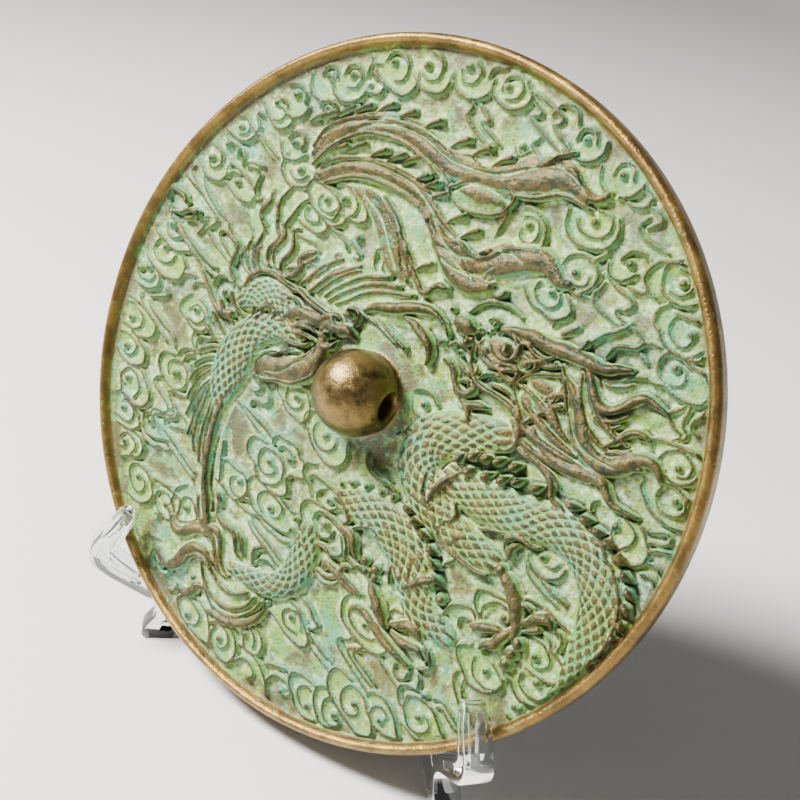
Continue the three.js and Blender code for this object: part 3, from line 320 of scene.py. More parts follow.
# Clouds along the bottom
CLOUDS_BOTTOM = """
b -68.8 -54 r -67 -53.6 -65.5 -55.2 -65.5 -57 -67 -58.4 -69.4 -57.8 -71.3 -56 -73.2 -53.6 o -73.2 -53.6
  -72.8 -51.3 -70.5 -50.3 -67.5 -50.7 -65 -52 -62.8 -54 -61.3 -56.7 -61.7 -59 -63.6 -60.7 -66.3 -61.3
  -71.7 -60.3
b -55.2 -57.8 r -54.4 -57.5 -53.6 -56.3 -54.8 -54.8 -57 -54.2 -59.4 -54.8 -60.3 -56.7 -59.4 -58.6
  o -59.4 -58.6 -58.2 -60.2 -56 -61 -52.8 -61.7 -50 -60 -50.6 -54 -57 -52.6
  s -63.2 -52 -59.4 -52 -53.6 -51.9
o -45.3 -49.4 -44.2 -52 -43 -55.2 -42.6 -57.5 -48 -60 -53 -56 -53.2 -53.2 -52.8 -51 -50.2 -49
  r -58.6 -62 -56.7 -61.7 -57 -63.6 s -58.2 -69.8 -56 -69 -53 -69 s -59.4 -71.7 -58 -70 b -50.5 -75.5
  r -52.5 -71.7 -54.8 -72.8 -55.2 -75.5 -53 -77.6
b -47.4 -55.5 r -50 -54.4 -49.5 -52.7 -47.2 -52 -45 -53.2 -43.8 -55.2
  r -50.7 -77 -49 -78 -47 -77.5 -46.5 -75.5 r -45.3 -81.7 -43 -81.3 -42.2 -79.4
b -35.3 -85.7 r -34.5 -87.5 -32.2 -87.7 -30.7 -86 -31 -83.6 -33.4 -82 -36.5 -80.5 -39.2 -81 -40.7 -82.8
  -39.5 -84.8 o -34.5 -79 -31.5 -80.2 -28.4 -82 -26.5 -84.8 -25.3 -87.5 -25.5 -90.2 -34 -88.6 -40 -84
  -38 -80
b -21.7 -86.9 r -22.2 -88.6 -20.3 -89.4 -18.4 -87.8 -18.4 -85.5 -20 -83.6 -22.2 -82.8 -24.5 -82.7
  -26.5 -83.8 o -19.2 -82 -16.8 -83.6 -15.3 -86 -14.5 -88.6 -15.3 -91 -17.2 -92.5 -22 -91 -25 -87
  -24 -83
b -13.4 -81.3 r -13.4 -78.8 -10.7 -79.8 -9.2 -82.5 -9.5 -84 o -10.7 -77.5 -8.4 -79 -6.5 -81.3 -6.5 -83.6
  -7.2 -85 -12 -85 -14.4 -80
b -7.8 -92.7 r -6.8 -92.5 -6.8 -90.5 -8.8 -88.6 -11.5 -88.2 -13.4 -89.8 -14.5 -91 o -14.5 -85
  -11.5 -85.2 -8 -86 -5 -87.5 -2.6 -89.8 -1 -92.5 0 -94.8
s -24.5 -49.8 -22.2 -51.7 -16 -54.4 -10.7 -57.5 s -23.8 -48.2 -21.4 -50.2 -15.2 -52.9 -9.9 -55.8
  L 2.2 1.6 -16.8 -54.8 -18.8 -56 -19.2 -58.2 -18.4 -60.5
  r -17.2 -59.8 -16 -58.2 -13.8 -57.7 -11.8 -58.6 r -3.8 -86.3 -1.8 -85.2 2 -84.8
b 0 -69.2 r 4.2 -71.7 3.8 -69.8 2 -67.5 0 -67 -2.2 -67.5 -3.2 -69 -2.6 -71 -0.7 -72.5 2.6 -72.8
  o -2 -65.2 1 -66 3.8 -68.2 6 -70.5 7.6 -72.8 7.6 -74.8 5.7 -75.7 2.6 -75.3 0 -74.6 -2.2 -73.6 -5 -72
  -8 -70.7
L 1.6 1.6 1.8 -62.5 5 -64 6.8 -66 9.2 -67.5 8.4 -69 6.5 -69.4 s 7.2 -71 10 -72.5 17.2 -75.2
  s 8.4 -74 11.5 -75.5 16.5 -77.5 b 5 -50.5 r 1.8 -53.2 4.2 -55 6.8 -55.2 9.5 -54.4 11.5 -52.5
  r 3 -52.5 5 -53.2 7.2 -53 9.2 -52
b 23.4 -60.3 r 25 -58.6 27.2 -59.8 28 -61.7 26.5 -63.2 23.4 -63.4 20.7 -62.5 18.4 -61 17.2 -59 17.6 -57
  o 16.8 -54 15 -55.2 14.2 -57.5 15 -60.2 16 -62 18.8 -63.6 21.8 -64.8 25 -66 28 -66.3 30.7 -65.5
  32.2 -63.6
r 29.2 -53.2 30.7 -51.9 33.4 -52 r 35.7 -65.5 36 -67.8 38 -69 40 -68.2 40.3 -66.3
  r 43 -65.2 44.2 -66.3 44.5 -68.6
s 20.7 -65.2 19.5 -66.7 17.2 -67 16.5 -68.2 18 -70.2 25 -74.4 30.7 -77.5
  s 26 -66.3 24.5 -67 21 -68.6 21 -69.8 22.6 -71 30.7 -75.5
  s 25.7 -67.5 23.4 -68.2 23 -69.8 28.8 -72.8 32.2 -74.8 s 30.3 -66.7 33.4 -69 38.8 -71.7
b 47.2 -69.8 r 45 -69.4 42.2 -69.4 40 -70.2 39.2 -71.7 40 -74 41.5 -75.5
b 47.6 -76 r 48.8 -74.8 50.7 -75.5 51.5 -77.5 50.3 -79.4 48 -80.2 45.3 -79.4 43.4 -77 42.2 -74.8
  o 42.2 -74.8 42.6 -72 45 -71 48 -71.3 50.7 -72 53 -74 54.8 -76 56.3 -78.2 50 -82 44 -80
b 37.2 -82.8 r 38 -82.5 38.8 -81 37.2 -79.4 35.3 -79.2 33.8 -80.5 33.6 -82 o 30.7 -78.2 31.8 -76.7
  34.5 -76.3 37.2 -77 40 -79 41.8 -81 43 -83.2 43.8 -85.2 36 -85 32 -82
b 28 -82.5 r 29.2 -82.8 30 -84 29.2 -85.5 26.8 -86 24.5 -84.8 23.2 -82.5 23.4 -79.8 o 23.4 -79.8
  25.3 -78 28 -78.2 30.7 -79.8 32.2 -82 34.2 -83.6 35.3 -85.5 36 -87.5 35 -89.2 32.2 -89.8 29.5 -89
  25 -86.7 20.3 -84 18.4 -82 17.4 -79.4 18 -76.7 20 -75.5 24.5 -76.7
b 23.2 -88.6 r 24.2 -88.2 25.3 -89.8 24.5 -91.3 22.2 -91.7 20 -90.5 18.8 -88.2 18.8 -86 20 -84.4
  o 17.2 -82.5 15.3 -83.6 15 -86 15.7 -88.2 17.2 -90.5 19.5 -92.5 21.8 -93 24.5 -92.3
b 14 -90.7 r 12.6 -91.7 10.7 -90.2 9.5 -87.8 10.3 -86 12.2 -85.3 13.8 -86 o 14.5 -84 11.8 -83.4 8.8 -83
  6.5 -83.6 5.5 -85.5 6.5 -87.8 8.4 -89.8 9.5 -91.7 11.5 -93.2 14.5 -94 17.6 -93.6
b 4.3 -90.9 r 5.3 -91.7 6.8 -91 7.4 -89.8 5.7 -88.2 3.8 -87.3 1 -87.5 -0.8 -89 -1.6 -91.3 -0.3 -94.8
  r -2 -85.3 0.3 -85 2.6 -84.2 4.5 -84.2
b 61.3 -55 r 57 -52.8 57 -54.8 58.2 -57.5 60.5 -58.6 62.5 -59.2 65.5 -58.2 66.7 -56.3 66.7 -54.8
  o 54.8 -50.5 52 -51.7 51.5 -53.2 52.5 -55.5 54.8 -57.5 56.7 -59.4 58.6 -60.5 64 -60 67 -56 62 -52
s 53.6 -58.6 53.2 -60.5 54 -62.8 57.8 -67.5 60.5 -71.3
  s 56.3 -59.8 56.3 -62 57.5 -64.4 61.3 -68.2 63.2 -69.8 s 49.8 -69.4 51.7 -68.6 54 -69.4 60.2 -73.4
  s 51.5 -71 53.2 -70.5 57.8 -73.6 59.4 -74.4
b 75.2 -51.1 r 70.5 -50.5 70.5 -52.5 72 -54.4 74.4 -55.3 77.5 -55 79 -53.2 79.4 -51 o 64.4 -50.5
  66 -52.8 68.6 -54 69.8 -55.5 72 -57 75.2 -57.3 77.5 -57.3 79 -55.5 b 72 -59.8 r 73.6 -58.6 74.6 -60
  r 69.8 -62.5 72 -63.6
"""

CLOUDS = (CLOUDS_TOP, CLOUDS_UPPER_LEFT, CLOUDS_RIGHT, CLOUDS_LEFT, CLOUDS_MIDDLE,
          CLOUDS_LOWER_RIGHT, CLOUDS_BOTTOM)

# Raised floors under the figures, then the rubbed floors of plumes, heads and tail
FLOORS = """
F 0.6 -29 24 -22 30 -12 33.4 0 32.4 10 29.4 16 27 8 21.5 -8 20 -20 17 -28 20
F 0.6 -47 -9 -58 -8 -61 -18 -59.6 -26 -54 -37 -47 -42.6 -40 -54 -42 -30 -42 -14
F 0.5 -52 14 -54 26 -56 36 -50 46 -40 46 -34 38 -28 32 -34 20 -46 14
F 0.6 -42 56 -40 66 -30 72 -16 76 0 74 16 72 30 76 44 73 36 66 18 63 0 62 -14 66 -30 60
F 0.6 -36 52 -28 60 -14 63 4 59 18 53 34 53 46 48 30 41 20 41 8 46 -6 54 -20 55
F 0.6 -8 50 -3 44 2 36 8 31.6 14 34 10 41 22 37 29 40 20 43 8 48 0 52
F 0.6 19 26 24 33.4 36 35.6 56 31.6 56 20 52 9 42 11 36 12 28 18
F 0.5 53 33 62 27 70 24 84 25 78 18 88 10 78 9 70 2 84 -1 60 -3 50 4 50 18
F 0.5 -20 -66 -12 -80 -30 -82 -36 -74 -56 -74 -50 -58 -40 -52 -30 -52 -24 -60
F 0.5 6 -38 12 -48 26 -44 34 -40 30 -54 44 -64 46 -56 30 -50 18 -58 10 -50
W 1.5 -42 57 -38 66 -31 72 -22 75.5 -12 76 -4 74 0 71.6 8 70 14 69.6 20 71.6 25 75.4 31 77 36 77.4
  40 75.4 45 71.2 48.6 71 48 68.6 44 68 38 70 33 72 29 70.2 26 66.4 20 65 12 65.4 4 66.4 -3 69 -10 70
  -20 69 -29 66 -35 61.4 -39 56
W 1.4 -40 53 -33 58 -25 62 -16 62.6 -8 61.6 -2 59.6 3 57.4 6 53.6 9 50 14 47 19 46.4 22 49.6 27 52.6
  33 51.4 37 48.6 32 46.4 29 43.6 25 40 19 38.4 12 39.6 6 43.4 2 49 -3 53 -10 56 -20 56 -30 53.4 -37 50
W 1.3 -30 53 -22 54 -14 53 -7 48 -2 42 2 37 4 35 0 32.5 -5 33 -9 37 -13 43 -18 48 -25 51
W 1.2 5 60 10 63 15 63.6 20 61.6 22 60 17 57.6 10 57.4
W 0.8 -33 27 -27 32 -18 34.4 -8 34 -3 32.4 2 30.6 6 29 2 26 -6 24 -10 22 -18 20 -28 20 -33 23
W 0.7 -50 22 -56 30 -55 38 -50 44 -44 44 -40 36 -36 30 -34 24 -38 21.6 -44 22.6
W 0.6 50 28 56 29 60 24 65 18 72 14 72 3 64 2 56 1.6 48 4 44.6 9 44 13 48 17 52 21
W 0.6 27 29 32 31.6 38 32.4 46 31 53 30.4 54.6 25 55 19.6 52 14.6 48 11 44 14.6 41 18.6 34 20 29 22.6
  26 26
W 0.7 -44 -58 -38 -60 -32 -56 -27 -58 -23 -62 -16 -68 -12 -72 -13 -79 -18 -82 -26 -82 -32 -78 -36 -70
  -42 -68 -50 -70 -47 -64
"""

# Phoenix: streamer on the left, crest, head, feathers behind the neck, breast
PHOENIX = """
T 1.8 2.4 -87.5 29.2 -88.5 31 -88.5 35 -87 34.5 -82.5 33.8 -81 32
  T 1.6 2.4 -86 27.8 -82 28.4 -79 30.2 -77 30 -75.6 30.5 L 1.5 2.4 -80 27.2 -77 28 -75.5 29.8 -74.8 29
  p -83 32 -75.5 28 r -72.5 30 -72 27 -73.6 24.2
G 3.4 2.4 -87.5 29.2 -85.5 26.8 -82.5 24.9 -79.4 22.6 -75.5 19.9 -71.3 17.2 -68.2 14.9 -65.2 12.2
  -62.5 9.5 -59.4 6.8 -55.9 4.9 -52.5 5.7 L 1.2 1.7 -80.9 24.5 -77 22.2 -69.4 18.4 -65.5 16.8 -63.2 16.5
  L 1 1.7 -67.5 15.7 -64 14.2
L 1.4 1.9 -62 12.2 -61.3 14.2 -59.8 15.3 -57.5 15.1 -56 14.2 B 1.8 2.1 -56.7 10.7 -53.6 10.3
S 2.2 2 -63.2 30.7 -62 28.8 -60.2 26.8 -57.8 26 -57 23.8 -57.8 20.3 -57.5 18.4 -55.5 16 -53.6 14.5
  -51 14.2 S 1.6 1.8 -54 31.5 -53.2 28.4 -54 25.3 -54.8 23 -53.6 20.7 -51.3 19.2 -49 18.4
  L 1.2 1.6 -65.5 26 -65.2 27.6 -63.2 28 -61 26.8
L 1.2 1.6 -65.5 26 -63.6 24.5 -61.3 23 -59 21.8 L 1.2 1.6 -52.5 38 -51.3 36 -49 34.2
  L 1.3 1.6 -57 47.2 -57.5 43 -56 40.3 -54.4 39.2 L 1.2 1.6 -58.5 35 -57.5 33.8 -55 32 -53.6 30.5
  B 1.6 2 -54 40.3
S 2 2.2 -44.2 47.2 -46 44.5 -47.2 40.7 -46 37.6 -45.3 35 -43.4 32.6 -44.2 30.3 -45.9 28 -45.7 25
  -44.2 23 S 1.8 2 -38 45.3 -40 43 -41 40.3 -42.2 37.6 -42.8 35.3 -41.8 33 -42.6 30.7 -44 28.4
  -43.4 25.3 -41.8 23.4
S 2 2.1 -49.6 33.4 -50 30 -50.7 26.8 -50 23.4 -48 21 -46.8 20.3
  S 1.5 1.9 -48.8 28.4 -49.5 26 -48 22.6 -45.7 21.5 S 1.6 1.9 -53 25.3 -52.2 22.2 -50.7 20.3 -48.8 19.2
  S 2.6 2.2 -50.7 44.5 -50.4 41 -52.2 37.6 -51 35 -48.8 32.2
S 2 2.3 -40 36 -38.8 33.8 -37.6 30.7 -38.4 28.4 -40 25.7 -39.5 23 -38 21.5 L 1.2 1.9 -40.3 35 -37.6 36.5
  S 2.8 2.4 -28.8 31.8 -30.3 31.5 -32.6 30.3 -33.8 28.4 -33 26 -34.2 23.8 -36 22.6 -37.6 21.5
  S 1.6 2 -38 24.2 -35.7 25.3 -33.4 26 p -28.4 32
L 1.2 1.6 -38 35 -35.3 34.2 -31.8 34.2 -30.3 33 L 1.2 1.6 -32.2 29.2 -30 28.4 -26.5 27.6
L 1.3 2.9 -50 15 -48.8 18 -46.5 20.3 -43.4 21.7 -40.3 21.7 -37.6 20.7 -36.5 20.1 S 1.8 2.8 -36.5 20.1
  -33.8 19.2 -31.5 19.9 -29.2 19.2 -26 18 -22.2 17.2 -19.2 16.8 -16 17.6 -13.4 15.7
L 1.3 2.4 -34.5 16 -33 17.2 -30.7 16.8 -28 15.3 -24.5 15.7 -21 15.3 S 2.6 3 -33.4 10.7 -31.8 13
  -29.5 14.5 -26.5 14.5 -23.8 14.2 -21 14.2 -19.5 16 -16.8 17.2 -14.5 16.8
  L 1.5 2.4 -28 12.2 -25.3 13.4 -22.2 13.4
S 3.4 3.3 -19.6 11.6 -18.4 13.6 -16.8 14.2 -14.2 13.9 -11 14.6 -8 12.6 S 2.2 2.7 -19.5 10.3 -19.2 8.8
  -17.2 7.6 -14.5 8.8 -13.8 10.3 B 1.1 3.9 -17.6 11.5 p -15.4 11.6 T 1.8 2.8 -10.3 15.7 -9.5 17.6
  -9.2 19.9 -10.7 21 -12.6 20.7 -13.2 19.5 -11.8 18.8
L 1.4 3.2 -32.6 5.7 -29.2 4.9 -24.5 5.3 -22.2 6.8 L 1.3 3.2 -24.5 3.8 -28 3 -29.2 -0.8
  L 1.3 3 -39.5 12.6 -41.8 10.7 -42.4 8.4 -41.5 5.7 L 1.3 3 -37.2 9.2 -36.5 11.5 -33.8 12.2
L 1.2 1.6 -29.2 23 -28.4 25.3 -26.5 27.6 L 1.2 1.6 -27.2 25 -26 26.8 -23.8 29.2
  L 1.3 1.7 -26 22.6 -24.5 25.7 -22.2 28.4 -19.2 30.7 L 1.4 1.9 -25.3 21 -22.6 24.5 -19.5 27.6 -16.5 30
  -13.4 31.5
T 1.7 2.1 -22.6 21 -19.5 24.5 -16 27.2 -12.2 30 -7.6 31.5 -3.4 32.6 T 1.7 2.1 -21 20 -18.4 22.6
  -14.5 25.7 -10 28.4 -5 30.3 0.5 31 T 1.7 2 -18.4 20 -14.5 22.6 -10 26 -3.8 28.4 2 29.5 5.5 30
  p -2.6 32.8 1.2 31.1 6.2 30.2
S 3.2 3 -8 21.5 -6 23.4 -2.2 24.5 2 25.7 5 27 10 28.2 14 28 17 26.5
  T 2 2.3 -2 20.3 1 18.8 4.2 17.6 7.6 16 S 3 3.1 5.3 23.8 8 23.4 11 21.8 13.8 20.3 15.3 18.4 16 16
  15.7 14.2 L 1.2 1.8 -12 20.4 -6 20 0 18 4 16
T 2 2.1 -48 -5 -51.3 -5.3 -53.6 -5.3 -56.7 -6.5 -59.4 -8.4
  T 1.8 2 -48 -8 -52.8 -8.4 -55.5 -9.2 -57.8 -10.7 -59.8 -13 T 1.8 2 -48 -10 -51.3 -10.7 -54.4 -11.5
  -57 -13 -59 -15.3 -60 -18
T 1.8 2 -48.6 -11 -52 -11.8 -54.4 -13.4 -56.7 -16 -58.2 -20 -59 -23.4 T 1.8 2 -48.6 -12 -51.6 -14.4
  -54.6 -18 -56.6 -23 -57.6 -28.4 T 1.8 2 -48.4 -13 -50.6 -15.6 -53.2 -20 -54.6 -26 -54.8 -34
T 1.8 2.1 -48 -14 -50.7 -15.3 -52.2 -19.5 -52.6 -25 -53 -30.7 -52.2 -34.5 -50.7 -37.6
  T 1.8 2.2 -47.6 -15 -49.5 -19.5 -50 -25 -50 -30.7 -49 -36.5 -47.4 -40 T 1.5 2.2 -47 -16 -48 -19.5
  -48.4 -25 -48 -30.7 -46.8 -35.7 -45.7 -40.3
T 3.6 3 -45.4 -18 -45.7 -20.3 -46.3 -25 -46 -30.7 -45.5 -36.5 -44.2 -41.5 -42.6 -46.5 -40.7 -50
  -39.2 -53 -38.2 -55 L 1.2 1.7 -41.5 -31 -40.5 -35 -39.7 -38 -38.5 -42.6
S 8 3.2 -37.6 -8 -36 -4 -31 -3.5 -24 -2 -18.5 3 -18 9 L 1.2 3.4 -35.7 -1 -32.2 0 -29 2 -24 3.6
  L 1.2 3 -37.6 -8 -33.8 -8.4 -29.2 -6.8 -24.2 -6 -20.3 -3.8 -17.6 -1 -16.5 2 V 1.8 1 -33 0.5 -35.7 -0.7
  -37.6 -2.6 -38.8 -5 -38.4 -8.8 -39.5 -12.6 -41.5 -16 -42.6 -21 -43.4 -26.8 -43.6 -32.6 -42.8 -38.4
  -41.5 -44.2 -39.2 -48 -37.6 -52
L 1 3.1 -29 8 -25 8.6 -21 8 L 1 3.1 -27 10.4 -23.4 11 -20.6 10.2 L 1 3.1 -25.6 0 -22.6 2.4 -20.4 6
"""

# The two long plumes above the knob
PLUMES = """
S 4.6 2.3 -41 58 -38 64 -30 69 -20 71 -10 70.4 0 67.2 6 65.4 14 66 25 67 32 71 38 73.4 42 71 46 69.4
  50.4 71.6 L 1.3 2.5 -40 55 -35 62 -27 67.5 -20 68.8 -12 68.5 -5 66 0 63 L 1.3 2.5 -41.6 60 -38.4 66.6
  -30 71.4 -20 73.4 -9 72.8 0 69.6 8 67.8 18 68.4
S 6.6 2.9 22 66 28 69 33 70.8 38 71.4 44 68.6 L 1.3 2.7 20 67 27 70 32 72.5 38 74.5 42 71 46 69 50 71.5
  L 1.4 2.6 23 64 30 65 38 68 46 66.5 L 1.2 2.7 25 71.5 30 74 33 77 37 79 p 50.6 71.8
h -41 69.5 -37 71.5 -32 73.8 -27 75.5 -20 77.5 -13 77.2 -4 76.8 6 74.3 13 73.8 20 73
S 3.8 2.1 -37 53 -30 57 -20 59 -10 58.4 0 56 6 52.4 12 49 L 1.3 2.4 -37 55 -31 59.4 -20 61 -10 60.6 0 58
  L 1.3 2.4 -34 51.4 -25 55.6 -15 56.4 -5 54.6 2 51 h -31 63 -25 65 -18 65 -12 65.4 -7 66 -2.5 62 1 61
  4.5 59 12 55 17.5 52.5
L 1.2 2.3 5 61 8 57.6 15 56.6 22 58.6 25 63.6 20 65.8 12 64.8 5 61 B 4 1.9 15 61.4
  S 5 2 9 61.2 15 61.6 21 61.2 L 1.3 2.2 0 66 5 62
L 1.3 2.2 -19.5 53 -14.5 51.8 -10.7 49.9 -7.6 47.2 -5.3 44.2 -3.4 39.5 -1 35.7 2 33 L 1.2 2.2 -13.8 53
  -9.5 50.3 -6.5 48 -4.2 44.5 -1.8 40.3 2 35.7 S 2.6 2.3 -3.4 43.8 -1 40.7 0.8 36.8
S 6.8 2.9 19.5 44.2 23 44.2 26.5 45.7 29.9 47.6 33.4 49.4 36.5 50.4 39.5 50.4 42.2 48.8 44.5 47.2
  46.8 47.2 S 4 2.4 5 49.6 10 46.8 15 46 20 44.4 24 45 V 1.6 0.8 26 40 28 40.5 33 43.4 36 45.6 40 47
L 1.4 3 2.6 53 5 50.7 7.6 48.8 10.7 47.6 14.2 48 16.5 46.9 19.5 45.7 22.6 46.4 24.5 48 26.5 49.7
  28.8 50.9 32.6 51.9 36 52.6 38.8 52.3 41 50.5 43 48.6 L 1.4 2.4 0.3 51.8 3 49.2 5.3 47.2 8.4 46
  11.5 45.7 15 45 17.6 43.4 20.3 41 23 40 25.7 40.3 27.2 41
S 5 2.6 7.2 45.3 10.7 42.6 13.8 40.3 17.2 38.8 20.3 38.2 23.4 38.8 26 39.5
  L 1.3 2.4 28.8 37.6 30.7 38.8 31 40 T 2.4 2.4 -2 43 0.3 40.3 2.6 36.8 5 34.2 7.2 32.2 9 32.6 10.5 34.5
  12.2 35.5 14 35 h 7.2 40 22.6 48.5 17.6 52.4 p 3.4 46 6 43 14.6 34 27.6 40
"""

